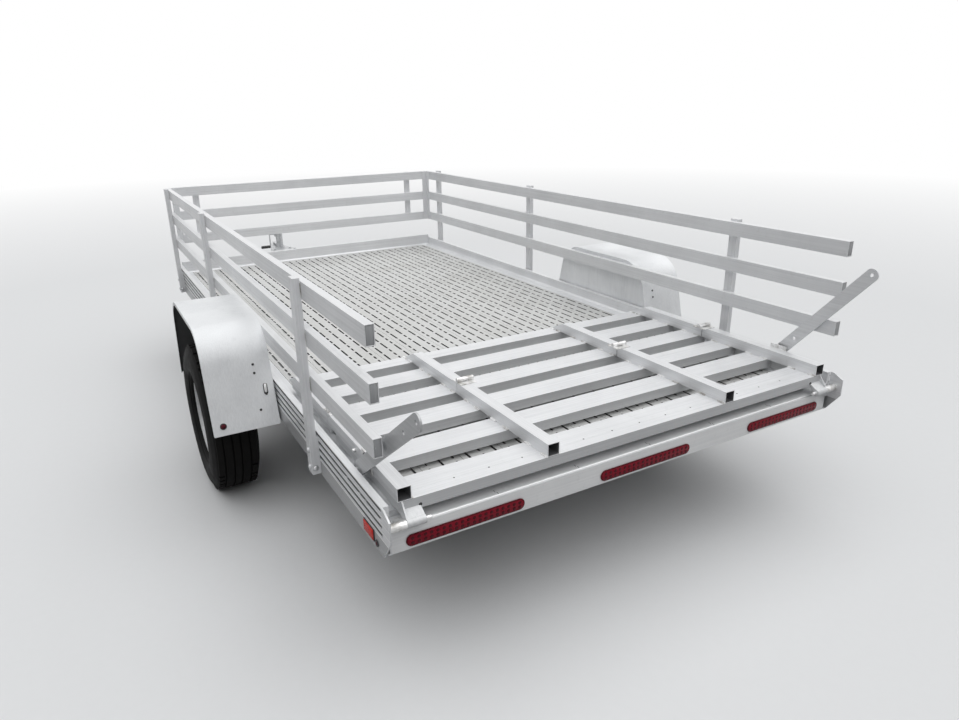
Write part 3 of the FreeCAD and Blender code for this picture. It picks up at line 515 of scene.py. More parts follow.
@dataclass(frozen=True)
class SatinSheet:
    """Satin fender sheet with a faint vertical brushing, handling marks and painted shade on its
    inside.
    """

    name: str
    wheel: tuple[float, float, float]
    slot: str = "aluminium"
    pale: Colour = (0.86, 0.875, 0.89)
    shade: Colour = (0.72, 0.735, 0.75)
    smear: Colour = (0.5, 0.51, 0.53)
    scratch: Colour = (0.9, 0.9, 0.9)
    inside_shade: Colour = (0.02, 0.02, 0.021)

    def material(self) -> bpy.types.Material:
        """Builds the sheet's material."""
        graph = Graph.of_material(self.name)
        brushing = graph.noise((260.0, 260.0, 5.0))
        clouds = graph.noise(3.5, 4.0)
        smears = graph.noise((26.0, 26.0, 9.0), 4.0).spread(0.56, 0.72)
        scratches = graph.cells((48.0, 40.0, 7.0), 0.5).spread(0.035, 0.015)
        tone = (brushing * 0.35 + clouds * 0.65).spread(0.36, 0.64)
        colour = graph.mix(tone, self.shade, self.pale)
        colour = graph.mix(smears * 0.18, colour, self.smear)
        colour = graph.mix(scratches * 0.4, colour, self.scratch)
        # Painted shade on the faces that look towards the wheel
        colour = graph.mix(graph.facing(self.wheel) * 0.9, colour, self.inside_shade)
        return graph.surface(Base_Color=colour, Metallic=0.15, Roughness=0.55 - smears * 0.08,
                             Normal=graph.bump(brushing, 0.16, 0.0005))


@dataclass(frozen=True)
class ZincSteel:
    """Zinc-plated steel with crystal patches, and rust only in its pits."""

    name: str = "zinc_plated_steel"
    slot: str = "zinc_steel"
    bright: Colour = (0.66, 0.67, 0.68)
    grey: Colour = (0.40, 0.41, 0.42)
    rusty: Colour = (0.25, 0.13, 0.07)

    def material(self) -> bpy.types.Material:
        """Builds the zinc's material."""
        graph = Graph.of_material(self.name)
        crystals = graph.cells(55.0).spread(0.1, 0.8)
        clouds = graph.noise(14.0, 4.0).spread(0.35, 0.65)
        rust = graph.noise(75.0, 5.0).spread(0.68, 0.78)
        colour = graph.mix(crystals * 0.5 + clouds * 0.5, self.bright, self.grey)
        colour = graph.mix(rust * 0.6, colour, self.rusty)
        return graph.surface(Base_Color=colour, Metallic=0.7 - rust * 0.5,
                             Roughness=0.34 + clouds * 0.16 + rust * 0.3,
                             Normal=graph.bump(crystals, 0.15, 0.0006))


@dataclass(frozen=True)
class WheelPaint:
    """Silver wheel paint with metallic flakes and patches of brake dust."""

    name: str = "silver_wheel_paint"
    slot: str = "wheel_silver"
    silver: Colour = (0.66, 0.67, 0.68)
    flake: Colour = (0.82, 0.83, 0.84)
    brake_dust: Colour = (0.20, 0.19, 0.18)

    def material(self) -> bpy.types.Material:
        """Builds the wheel's material."""
        graph = Graph.of_material(self.name)
        flakes = graph.cells(900.0).spread(0.2, 0.7)
        dust = graph.noise(18.0, 4.0).spread(0.45, 0.75)
        colour = graph.mix(flakes * 0.25, self.silver, self.flake)
        colour = graph.mix(dust * 0.5, colour, self.brake_dust)
        return graph.surface(Base_Color=colour, Metallic=0.5, Roughness=0.30 + dust * 0.3,
                             Coat_Weight=0.3 - dust * 0.2, Coat_Roughness=0.15,
                             Normal=graph.bump(dust, 0.12, 0.0004))


@dataclass(frozen=True)
class HubPaint:
    """Black enamel on the hub, chipped and dusty."""

    name: str = "black_hub_enamel"
    slot: str = "hub_black"
    black: Colour = (0.022, 0.022, 0.024)
    dusty: Colour = (0.13, 0.12, 0.11)
    chip: Colour = (0.35, 0.34, 0.33)

    def material(self) -> bpy.types.Material:
        """Builds the enamel's material."""
        graph = Graph.of_material(self.name)
        dust = graph.noise(40.0, 4.0).spread(0.4, 0.75)
        chips = graph.cells(70.0).spread(0.09, 0.05)
        colour = graph.mix(chips, graph.mix(dust * 0.5, self.black, self.dusty), self.chip)
        return graph.surface(Base_Color=colour, Roughness=0.34 + dust * 0.3,
                             Normal=graph.bump(dust, 0.2, 0.0004))


@dataclass(frozen=True)
class TyreRubber:
    """Black rubber: fine circular mould lines, grey scrub on the tread and dusty patches.

    The centre is the wheel's, and it and the radii are in metres.
    """

    name: str
    centre: tuple[float, float, float]
    slot: str = "tyre_rubber"
    black: Colour = (0.004, 0.004, 0.0043)
    scrubbed: Colour = (0.022, 0.0215, 0.021)
    tread_radii: tuple[float, float] = (0.3285, 0.3315)
    wall_radii: tuple[float, float] = (0.322, 0.312)

    def material(self) -> bpy.types.Material:
        """Builds the rubber's material."""
        graph = Graph.of_material(self.name)
        about = graph.place((1.0, 0.0, 1.0), centre=(self.centre[0], 0.0, self.centre[2]))
        radius = graph.measure("LENGTH", about)
        lines = graph.waves(about, 46.0, wave_type="RINGS", rings_direction="Y")
        grit = graph.noise(420.0, 3.0)
        dust = graph.noise(20.0, 4.0).spread(0.40, 0.70)
        tread = radius.spread(*self.tread_radii)
        wall = radius.spread(*self.wall_radii)
        colour = graph.mix(dust * 0.55 + grit * 0.15, self.black, self.scrubbed)
        colour = graph.mix(tread * 0.45, colour, self.scrubbed)
        return graph.surface(Base_Color=colour, Roughness=0.66 + dust * 0.2 - wall * 0.1,
                             Specular_IOR_Level=0.06,
                             Normal=graph.bump(lines * wall * 0.6 + grit * 0.4, 0.45, 0.0008))


@dataclass(frozen=True)
class RedLens:
    """Red moulded lens with a fine grid of prisms under a clear skin."""

    name: str
    deep: Colour
    lit: Colour
    prism_pitch: float = 0.004
    hazy: Colour = (0.42, 0.20, 0.18)
    slot: str = "red_lens"

    def material(self) -> bpy.types.Material:
        """Builds the lens's material."""
        graph = Graph.of_material(self.name)
        prisms = graph.cells(1 / self.prism_pitch, jitter=0.0).spread(0.1, 0.7)
        haze = graph.noise(60.0, 3.0).spread(0.4, 0.7)
        colour = graph.mix(haze * 0.04, graph.mix(prisms, self.lit, self.deep), self.hazy)
        return graph.surface(Base_Color=colour, Roughness=0.22 + haze * 0.2,
                             Specular_IOR_Level=0.10, Coat_Weight=0.04, Coat_Roughness=0.05,
                             Normal=graph.bump(prisms, 0.35, 0.0006))


@dataclass(frozen=True)
class BlackRubber:
    """Matt black rubber or plastic with a pebbled skin."""

    name: str = "black_grommet_rubber"
    slot: str = "hub_black"
    black: Colour = (0.018, 0.018, 0.019)
    dusty: Colour = (0.09, 0.088, 0.085)

    def material(self) -> bpy.types.Material:
        """Builds the rubber's material."""
        graph = Graph.of_material(self.name)
        pebbles = graph.noise(600.0)
        dust = graph.noise(50.0, 3.0).spread(0.45, 0.75)
        return graph.surface(Base_Color=graph.mix(dust * 0.5, self.black, self.dusty),
                             Roughness=0.55 + dust * 0.2,
                             Normal=graph.bump(pebbles, 0.3, 0.0004))


@dataclass(frozen=True)
class FloorPaint:
    """Pale studio floor that fades to the white surround far from the trailer. In metres."""

    name: str = "studio_floor"
    slot: str = ""
    grey: Colour = (0.74, 0.75, 0.76)
    grain: Colour = (0.56, 0.57, 0.58)
    bounce: Colour = (0.20, 0.20, 0.205)
    fade_from: float = 4.5
    fade_to: float = 15.0

    def material(self) -> bpy.types.Material:
        """Builds the floor's material."""
        graph = Graph.of_material(self.name)
        far = graph.measure("LENGTH", graph.place()).spread(self.fade_from, self.fade_to)
        colour = graph.mix(graph.noise(30.0, 3.0) * 0.1, self.grey, self.grain)
        colour = graph.mix(graph.seen(), self.bounce, colour)
        shader = graph.add("ShaderNodeBsdfPrincipled", {},
                           {"Base Color": colour, "Roughness": 0.75,
                            "Specular IOR Level": 0.2})
        glow = graph.add("ShaderNodeEmission", {}, {"Color": (1.0, 1.0, 1.0, 1.0),
                                                    "Strength": graph.seen()})
        both = graph.add("ShaderNodeMixShader", {}, {0: far, 1: Wire(graph, shader.outputs[0]),
                                                     2: Wire(graph, glow.outputs[0])})
        graph.add("ShaderNodeOutputMaterial", {}, {"Surface": Wire(graph, both.outputs[0])})
        return graph.owner


class Paintbox:
    """Makes each finish's material once and hands it out."""

    def __init__(self) -> None:
        """Starts with no materials."""
        self.made: dict[str, bpy.types.Material] = {}

    def of(self, finish: Finish) -> bpy.types.Material:
        """The finish's material, built at its first use."""
        if finish.name not in self.made:
            self.made[finish.name] = finish.material()
        return self.made[finish.name]


PAINTS = Paintbox()
ALONG = MillAluminium("aluminium_along", Grain.LENGTH)
ACROSS = MillAluminium("aluminium_across", Grain.WIDTH)
UPRIGHT = MillAluminium("aluminium_upright", Grain.HEIGHT)
# The tubes' hollows take painted shade
TUBES = MillAluminium("aluminium_tubes", Grain.LENGTH, marks=(TubeHollowShade(),))
PLATES = MillAluminium("aluminium_plates", Grain.LENGTH, bright=(0.68, 0.69, 0.70),
                       dull=(0.56, 0.57, 0.58))
# Painted shade on the faces below the bumper's ledge, so that its chamfer shows only a thin bright
# line
BUMPER = MillAluminium("aluminium_bumper", Grain.WIDTH, marks=(UprightShade(0.12, top=0.5118),),
                       bright=(0.92, 0.925, 0.93), dull=(0.82, 0.83, 0.84))
# Painted shade on the slats' faces that don't look up
SLATS = MillAluminium("aluminium_slats", Grain.WIDTH, marks=(UprightShade(0.38),))
# Painted shade on the side's outer faces below its slots
SLOTTED = MillAluminium("aluminium_slotted_side", Grain.LENGTH,
                        marks=(UprightShade(0.62, nearest_half=0.966, top=0.486), SlotShadeAndSillHighlights()))
# Darker aluminium whose grey is painted shade of the recessed rail ends
SHADED_PLUG = MillAluminium("rail_end_plugs", Grain.HEIGHT, bright=(0.40, 0.41, 0.42),
                     dull=(0.32, 0.33, 0.34))
WELD = WeldedAluminium()
DECK = DeckAluminium()
DECK_SHADE = DeckShade()
ZINC = ZincSteel()
WHEEL = WheelPaint()
HUB = HubPaint()
RUBBER = BlackRubber()
LAMP_RED = RedLens("lamp_lens", (0.13, 0.002, 0.010), (0.36, 0.006, 0.026))
LAMP_CELL = RedLens("lamp_cells", (0.05, 0.0015, 0.006), (0.19, 0.004, 0.016), 0.003)
REFLECTOR_RED = RedLens("reflector_lens", (0.62, 0.010, 0.006), (0.95, 0.05, 0.025), 0.0035)
SMALL_LAMP = RedLens("small_lamp_lens", (0.030, 0.001, 0.006), (0.16, 0.004, 0.02), 0.003)


class Side(Enum):
    """Side of the trailer and the sign of its Y."""

    LEFT = 1
    RIGHT = -1

    @property
    def word(self) -> str:
        """The side's name in node names."""
        return self.name.lower()

    @property
    def outward(self) -> Vector:
        """Direction away from the trailer's middle."""
        return Y_AXIS * self.value


def at(station: float, y: float, z: float) -> Vector:
    """Place in millimetres, its station counted forward from the frame's rear face."""
    return Vector((REAR_X / MM + station, y, z))


def turned_to(axis: Vector, place: Vector) -> Matrix:
    """Matrix that stands a shape made along Z on a place, along another axis."""
    return Matrix.Translation(place) @ axis.to_track_quat("Z", "Y").to_matrix().to_4x4()


class Shape:
    """Mesh being built in millimetres in the trailer's frame."""

    # Turn in radians past which an edge is rounded
    sharp_turn = 0.7
    # Weld ripples by the bead's radius: their pitch, height and swell, and its turn in radians
    bead_pitch = 1.1
    bead_height = 0.62
    bead_swell = 0.12
    bead_turn = 2.4

    def __init__(self) -> None:
        """Starts an empty mesh."""
        self.mesh = bmesh.new()

    def round(self, verts: Iterable[bmesh.types.BMVert], width: float) -> None:
        """Rounds the sharp edges among the corners of one closed form."""
        chosen = set(verts)
        edges = [edge for edge in self.mesh.edges
                 if edge.verts[0] in chosen and edge.verts[1] in chosen
                 and edge.is_manifold and edge.calc_face_angle(0.0) > self.sharp_turn]
        bmesh.ops.bevel(self.mesh, geom=edges, offset=width, offset_type="OFFSET",
                        segments=2, profile=0.5, affect="EDGES", material=-1,
                        clamp_overlap=True)

    def block(self, low: Vector, high: Vector, rounding: float = 0.0) -> None:
        """Box between two corners, with its edges rounded if a width is given."""
        size = high - low
        place = Matrix.Translation((low + high) / 2) @ Matrix.Diagonal(
            (abs(size.x), abs(size.y), abs(size.z), 1.0))
        made = bmesh.ops.create_cube(self.mesh, size=1.0, matrix=place)
        if rounding > 0:
            self.round(made["verts"], rounding)

    def fit(self, foot: Vector, axis: Vector, *parts: Union["Rod", "Dome"]) -> None:
        """Adds the rods and domes of a fitting from its foot along an axis."""
        for part in parts:
            part.add_to(self, foot + axis * part.start, axis)

    def bead(self, start: Vector, end: Vector, radius: float, flat: Vector) -> None:
        """Weld bead: overlapping ripples between two places.

        Args:
            start: First end.
            end: Last end.
            radius: Half of the bead's width.
            flat: Direction in which each ripple is thin.
        """
        run = end - start
        count = max(2, round(run.length / (radius * self.bead_pitch)))
        for index in range(count + 1):
            swell = 1.0 + self.bead_swell * math.sin(index * self.bead_turn)
            self.fit(start + run * (index / count), flat,
                     Dome(radius * swell, radius * self.bead_height, 6))

    def object(self, name: str, body: str, finish: Finish, replaces: Sequence[str] = (),
               crease_deg: float = 32.0, others: Sequence[Finish] = ()) -> None:
        """Turns the mesh into a piece of the trailer, in metres.

        Args:
            name: Piece's name.
            body: Body that it rides on.
            finish: Its finish.
            replaces: Nodes that it stands for.
            crease_deg: Angle past which an edge stays sharp.
            others: Finishes of the faces whose material index is 1 or more.
        """
        bmesh.ops.scale(self.mesh, vec=(MM, MM, MM), verts=self.mesh.verts)
        bmesh.ops.recalc_face_normals(self.mesh, faces=self.mesh.faces)
        data = bpy.data.meshes.new(name)
        self.mesh.to_mesh(data)
        self.mesh.free()
        data.shade_smooth()
        data.set_sharp_from_angle(angle=math.radians(crease_deg))
        piece = bpy.data.objects.new(name, data)
        bpy.context.scene.collection.objects.link(piece)
        for each in (finish, *others):
            data.materials.append(PAINTS.of(each))
        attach(piece, body)
        if replaces:
            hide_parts(*replaces)
        LOG.info("%s: %d faces on %s", name, len(data.polygons), body)


@dataclass(frozen=True)
class Rod:
    """Round or many-sided length of a fitting. Sizes in millimetres.

    The start counts from the fitting's foot. A negative tip radius means that both ends are
    the same.
    """

    length: float
    radius: float
    tip_radius: float = -1.0
    segments: int = 20
    rounding: float = 0.0
    start: float = 0.0

    def add_to(self, shape: Shape, foot: Vector, axis: Vector) -> None:
        """Adds the rod to a shape, with its end edges rounded if a width is given."""
        made = bmesh.ops.create_cone(
            shape.mesh, cap_ends=True, cap_tris=False, segments=self.segments,
            radius1=self.radius, radius2=self.radius if self.tip_radius < 0 else self.tip_radius,
            depth=self.length, matrix=turned_to(axis, foot + axis * (self.length / 2)))
        if self.rounding > 0:
            shape.round(made["verts"], self.rounding)


@dataclass(frozen=True)
class Dome:
    """Flattened ball whose short radius is its height. Sizes in millimetres."""

    radius: float
    height: float
    segments: int = 16
    start: float = 0.0

    def add_to(self, shape: Shape, centre: Vector, axis: Vector) -> None:
        """Adds the dome to a shape."""
        place = turned_to(axis, centre) @ Matrix.Diagonal(
            (self.radius, self.radius, self.height, 1.0))
        bmesh.ops.create_uvsphere(shape.mesh, u_segments=self.segments,
                                  v_segments=self.segments // 2, radius=1.0, matrix=place)


@dataclass(frozen=True)
class Plate:
    """Round-ended plate, with its rims rounded. Sizes in millimetres."""

    length: float
    width: float
    depth: float
    rounding: float
    segments: int = 24

    def add_to(self, shape: Shape, centre: Vector, axis: Vector, along: Vector) -> None:
        """Adds the plate to a shape.

        Args:
            shape: Mesh to add to.
            centre: Middle of its back face.
            axis: Direction of its thickness.
            along: Direction of its long side.
        """
        mesh = shape.mesh
        place = Matrix((along, axis.cross(along), axis)).transposed().to_4x4()
        place.translation = centre
        made = bmesh.ops.create_circle(mesh, cap_ends=True, segments=self.segments,
                                       radius=self.width / 2,
                                       matrix=Matrix.Rotation(math.pi / self.segments, 4, "Z"))
        verts = made["verts"]
        for vert in verts:
            vert.co.x += math.copysign((self.length - self.width) / 2, vert.co.x)
        faces = list({face for vert in verts for face in vert.link_faces})
        pulled = bmesh.ops.extrude_face_region(mesh, geom=faces)
        top = [item for item in pulled["geom"] if isinstance(item, bmesh.types.BMVert)]
        bmesh.ops.translate(mesh, vec=(0.0, 0.0, self.depth), verts=top)
        whole = list({*verts, *top})
        bmesh.ops.transform(mesh, matrix=place, verts=whole)
        shape.round(whole, self.rounding)


def hexagon(across: float, length: float, washer: float = 1.6) -> tuple[Rod, Rod]:
    """Six-sided bolt head or nut on its washer."""
    return (Rod(washer, across * 0.92),
            Rod(length, across / math.sqrt(3), segments=6, rounding=0.7, start=washer))


@dataclass
class SlottedDeck:
    """Deck planks with their rows of slots, and the ribs under them. Sizes in millimetres."""

    rear_station: float = 60.0
    front_station: float = 3652.0
    top: float = 536.0
    skin: float = 3.5
    plank_count: int = 12
    plank_pitch: float = 150.0
    plank_width: float = 149.0
    rib_bottom: float = 504.0
    rib_thickness: float = 3.5
    rows_across: int = 3
    field_start: float = 68.6
    columns: int = 65
    column_pitch: float = 54.67
    bridge: float = 21.0
    slot_width: float = 9.0
    slot_rim: float = 2.0
    # Share of a slot's width that each of its corners is cut by
    corner_share: float = 0.36
    # Corners of a short slot and of a long one once they are cut
    slot_corners: tuple[int, int] = (8, 10)
    # Distance from the top within which a face's middle counts as on top
    top_band: float = 0.2

    def is_long(self, row: int, column: int) -> bool:
        """Whether a column's slot runs on into the next column.

        Args:
            row: Row, counted from the right side of the deck.
            column: Column, counted from the rear.

        Returns:
            True at the start of a long slot. Two long ones follow two short ones, and every
            other row is shifted by half of that pattern.
        """
        shift = 0 if row % 2 else 3
        return (column + shift) % 6 in (0, 2) and column + 1 < self.columns

    def plank(self, shape: Shape, middle: float, first_row: int) -> None:
        """Adds one plank's slotted skin.

        Args:
            shape: Mesh to add to.
            middle: Y of the plank's middle.
            first_row: Number of its first row.
        """
        mesh = shape.mesh
        length = self.columns * self.column_pitch
        row_pitch = self.plank_width / self.rows_across
        verts = bmesh.ops.create_grid(mesh, x_segments=self.columns, y_segments=self.rows_across,
                                      size=0.5)["verts"]
        bmesh.ops.scale(mesh, vec=(length, self.plank_width, 1.0), verts=verts)
        bmesh.ops.translate(mesh, verts=verts,
                            vec=at(self.field_start + length / 2, middle, self.top))
        start = at(self.field_start, middle - self.plank_width / 2, self.top)
        joints = []
        for edge in {edge for vert in verts for edge in vert.link_edges}:
            spot = (edge.verts[0].co + edge.verts[1].co) / 2 - start
            column = round(spot.x / self.column_pitch) - 1
            row = first_row + int(spot.y / row_pitch)
            across = abs(edge.verts[0].co.y - edge.verts[1].co.y) > row_pitch / 2
            if across and column >= 0 and self.is_long(row, column):
                joints.append(edge)
        bmesh.ops.dissolve_edges(mesh, edges=joints, use_verts=False, use_face_split=False)
        self.cut(mesh, list({face for vert in verts for face in vert.link_faces}))
        for vert in verts:
            if vert.co.x < start.x + self.slot_rim / 2:
                vert.co.x = at(self.rear_station, 0.0, 0.0).x
            elif vert.co.x > start.x + length - self.slot_rim / 2:
                vert.co.x = at(self.front_station, 0.0, 0.0).x

    def cut(self, mesh: bmesh.types.BMesh, faces: list[bmesh.types.BMFace]) -> None:
        """Cuts a round-ended slot into each face, between bridges of one width."""
        rim = self.slot_rim
        bmesh.ops.inset_individual(mesh, faces=faces, thickness=rim, depth=0.0)
        corners: list[bmesh.types.BMVert] = []
        for face in faces:
            across = [vert.co.x for vert in face.verts]
            along = [vert.co.y for vert in face.verts]
            span = max(across) - min(across)
            wanted = span + 2 * rim - self.bridge
            centre = Vector(((max(across) + min(across)) / 2, (max(along) + min(along)) / 2,
                             self.top))
            factors = (wanted / span, self.slot_width / (max(along) - min(along)), 1.0)
            bmesh.ops.scale(mesh, vec=factors, verts=face.verts,
                            space=Matrix.Translation(-centre))
            corners += [vert for vert in face.verts
                        if abs(vert.co.x - centre.x) > wanted / 2 - 0.5]
        bmesh.ops.bevel(mesh, geom=corners, offset=self.slot_width * self.corner_share,
                        offset_type="OFFSET", segments=1, profile=0.5, affect="VERTICES",
                        material=-1)
        slots = [face for face in mesh.faces if len(face.verts) in self.slot_corners]
        bmesh.ops.delete(mesh, geom=slots, context="FACES_ONLY")

    def repeat(self, shape: Shape, count: int, step: Vector) -> None:
        """Copies all of a mesh along a line."""
        mesh = shape.mesh
        geometry = mesh.verts[:] + mesh.edges[:] + mesh.faces[:]
        for index in range(1, count):
            copied = bmesh.ops.duplicate(mesh, geom=geometry)
            verts = [item for item in copied["geom"] if isinstance(item, bmesh.types.BMVert)]
            bmesh.ops.translate(mesh, vec=step * index, verts=verts)

    def build(self) -> None:
        """Builds the deck's skin and ribs as one piece."""
        shape = Shape()
        first = -(self.plank_count - 1) * self.plank_pitch / 2
        for index in (0, 1):
            self.plank(shape, first + index * self.plank_pitch, index * self.rows_across)
        self.repeat(shape, self.plank_count // 2, Y_AXIS * (2 * self.plank_pitch))
        mesh = shape.mesh
        bmesh.ops.recalc_face_normals(mesh, faces=mesh.faces)
        if mesh.faces[0].normal.z < 0:
            bmesh.ops.reverse_faces(mesh, faces=mesh.faces)
        bmesh.ops.solidify(mesh, geom=mesh.faces[:], thickness=self.skin)
        for index in range(self.plank_count):
            low = first + self.plank_pitch * index - self.plank_width / 2
            span = self.plank_width - self.rib_thickness
            for rib in range(self.rows_across + 1):
                y = low + span * rib / self.rows_across
                shape.block(at(self.rear_station, y, self.rib_bottom),
                            at(self.front_station, y + self.rib_thickness, self.top - self.skin))
        # Faces below the top take the painted shade of the slots' walls and the planks' undersides
        for face in mesh.faces:
            middle = face.calc_center_median()
            face.material_index = int(middle.z < self.top - self.top_band)
        shape.object("deck_slotted_planks", "chassis", DECK, ["deck_planks"], others=[DECK_SHADE])


@dataclass
class LampSet:
    """Tail-light bars, side reflectors and marker lamps. Sizes in millimetres."""

    bar_centres: tuple[float, ...] = (709.0, 0.0, -709.0)
    bar_height: float = 459.0
    housing: Plate = Plate(406.0, 40.0, 3.6, 1.4)
    lens: Plate = Plate(398.0, 32.0, 3.8, 1.6)
    lens_step: float = 1.0
    cell: Dome = Dome(6.2, 1.3, 10, start=-4.6)
    cell_rows: int = 2
    cell_columns: int = 19
    cell_rise: float = 7.6
    side_face: float = 981.0
    reflector_station: float = 104.0
    reflector_length: float = 80.0
    reflector_width: float = 40.0
    reflector_height: float = 466.0
    reflector_proud: float = 5.0
    reflector_rim: float = 3.0
    reflector_rounding: float = 1.2
    rim_share: float = 0.6
    marker_station: float = 45.0
    marker_height: float = 452.0
    marker_frame: Rod = Rod(3.4, 11.0, rounding=1.0)
    marker_lens: Dome = Dome(8.58, 3.6, start=1.4)

    def bars(self) -> None:
        """Builds the three light bars: housing, lens and rows of light cells."""
        housings, lenses, cells = Shape(), Shape(), Shape()
        pitch = (self.housing.length - self.housing.width) / (self.cell_columns - 1)
        for centre in self.bar_centres:
            back = at(0.0, centre, self.bar_height)
            self.housing.add_to(housings, back, -X_AXIS, Y_AXIS)
            self.lens.add_to(lenses, back - X_AXIS * self.lens_step, -X_AXIS, Y_AXIS)
            for column in range(self.cell_columns):
                y = centre + pitch * (column - (self.cell_columns - 1) / 2)
                for row in range(self.cell_rows):
                    z = self.bar_height + self.cell_rise * (2 * row - 1)
                    cells.fit(at(0.0, y, z), X_AXIS, self.cell)
        housings.object("light_bar_housings", "chassis", LAMP_CELL, ["tail_lights"])
        lenses.object("light_bar_lenses", "chassis", LAMP_RED)
        cells.object("light_bar_cells", "chassis", LAMP_CELL)

    def side_lamps(self) -> None:
        """Builds the reflectors and the round markers on both sides."""
        plates, frames, markers = Shape(), Shape(), Shape()
        half = self.reflector_length / 2
        rise = self.reflector_width / 2
        for side in Side:
            for grow, share, shape in ((0.0, self.rim_share, frames),
                                       (self.reflector_rim, 1.0, plates)):
                face = side.value * (self.side_face + self.reflector_proud * share)
                shape.block(at(self.reflector_station - half + grow, side.value * self.side_face,
                               self.reflector_height - rise + grow),
                            at(self.reflector_station + half - grow, face,
                               self.reflector_height + rise - grow), self.reflector_rounding)
            spot = at(self.marker_station, side.value * self.side_face, self.marker_height)
            frames.fit(spot, side.outward, self.marker_frame)
            markers.fit(spot, side.outward, self.marker_lens)
        frames.object("side_lamp_frames", "chassis", RUBBER, ["side_reflectors"])
        plates.object("side_reflector_plates", "chassis", REFLECTOR_RED)
        markers.object("side_marker_lenses", "chassis", SMALL_LAMP)

    def build(self) -> None:
        """Builds every lamp but those on the fenders."""
        self.bars()
        self.side_lamps()


@dataclass
class FenderFittings:
    """Lamp, screws and clip on each fender's rear face. Sizes in millimetres."""

    foot_station: float = 1065.0
    foot_height: float = 423.0
    lean_deg: float = 14.0
    lamp_half: float = 1207.0
    lamp_height: float = 460.0
    lamp_frame: Rod = Rod(3.3, 13.0, segments=36, rounding=2.0)
    lamp_lens: Dome = Dome(9.62, 5.8, 24, start=3.0)
    screw: Rod = Rod(2.2, 5.2, 4.0, 16)
    # Screws by half width and height
    screws: tuple[tuple[float, float], ...] = ((1055.0, 673.0), (1055.0, 639.0), (1055.0, 493.0))
    clip_half: float = 1023.0
    clip_height: float = 571.0
    clip_seat: Plate = Plate(46.0, 17.0, 1.6, 0.5, 20)
    clip: Plate = Plate(36.0, 10.5, 4.5, 1.4, 20)
    clip_rise: float = 3.0
    pin: Rod = Rod(5.2, 4.4, segments=16)
    pin_drop: float = 21.0

    def spot(self, half: float, height: float) -> Vector:
        """Place on the leaning rear face."""
        lean = math.tan(math.radians(self.lean_deg))
        return at(self.foot_station + (height - self.foot_height) * lean, half, height)

    def build(self) -> None:
        """Builds the fittings of both fenders."""
        lean = math.radians(self.lean_deg)
        normal = Vector((-math.cos(lean), 0.0, math.sin(lean)))
        up = Vector((math.sin(lean), 0.0, math.cos(lean)))
        grommets, lenses, screws, clips = Shape(), Shape(), Shape(), Shape()
        for side in Side:
            lamp = self.spot(side.value * self.lamp_half, self.lamp_height)
            grommets.fit(lamp, normal, self.lamp_frame)
            lenses.fit(lamp, normal, self.lamp_lens)
            for half, height in self.screws:
                screws.fit(self.spot(side.value * half, height), normal, self.screw)
            seat = self.spot(side.value * self.clip_half, self.clip_height)
            self.clip_seat.add_to(screws, seat, normal, up)
            self.clip.add_to(clips, seat + up * self.clip_rise, normal, up)
            screws.fit(seat - up * self.pin_drop, normal, self.pin)
        grommets.object("fender_lamp_grommets", "chassis", RUBBER, ["fender_lamps"])
        lenses.object("fender_lamp_lenses", "chassis", SMALL_LAMP)
        screws.object("fender_screws", "chassis", RUBBER)
        clips.object("fender_clips", "chassis", WELD)


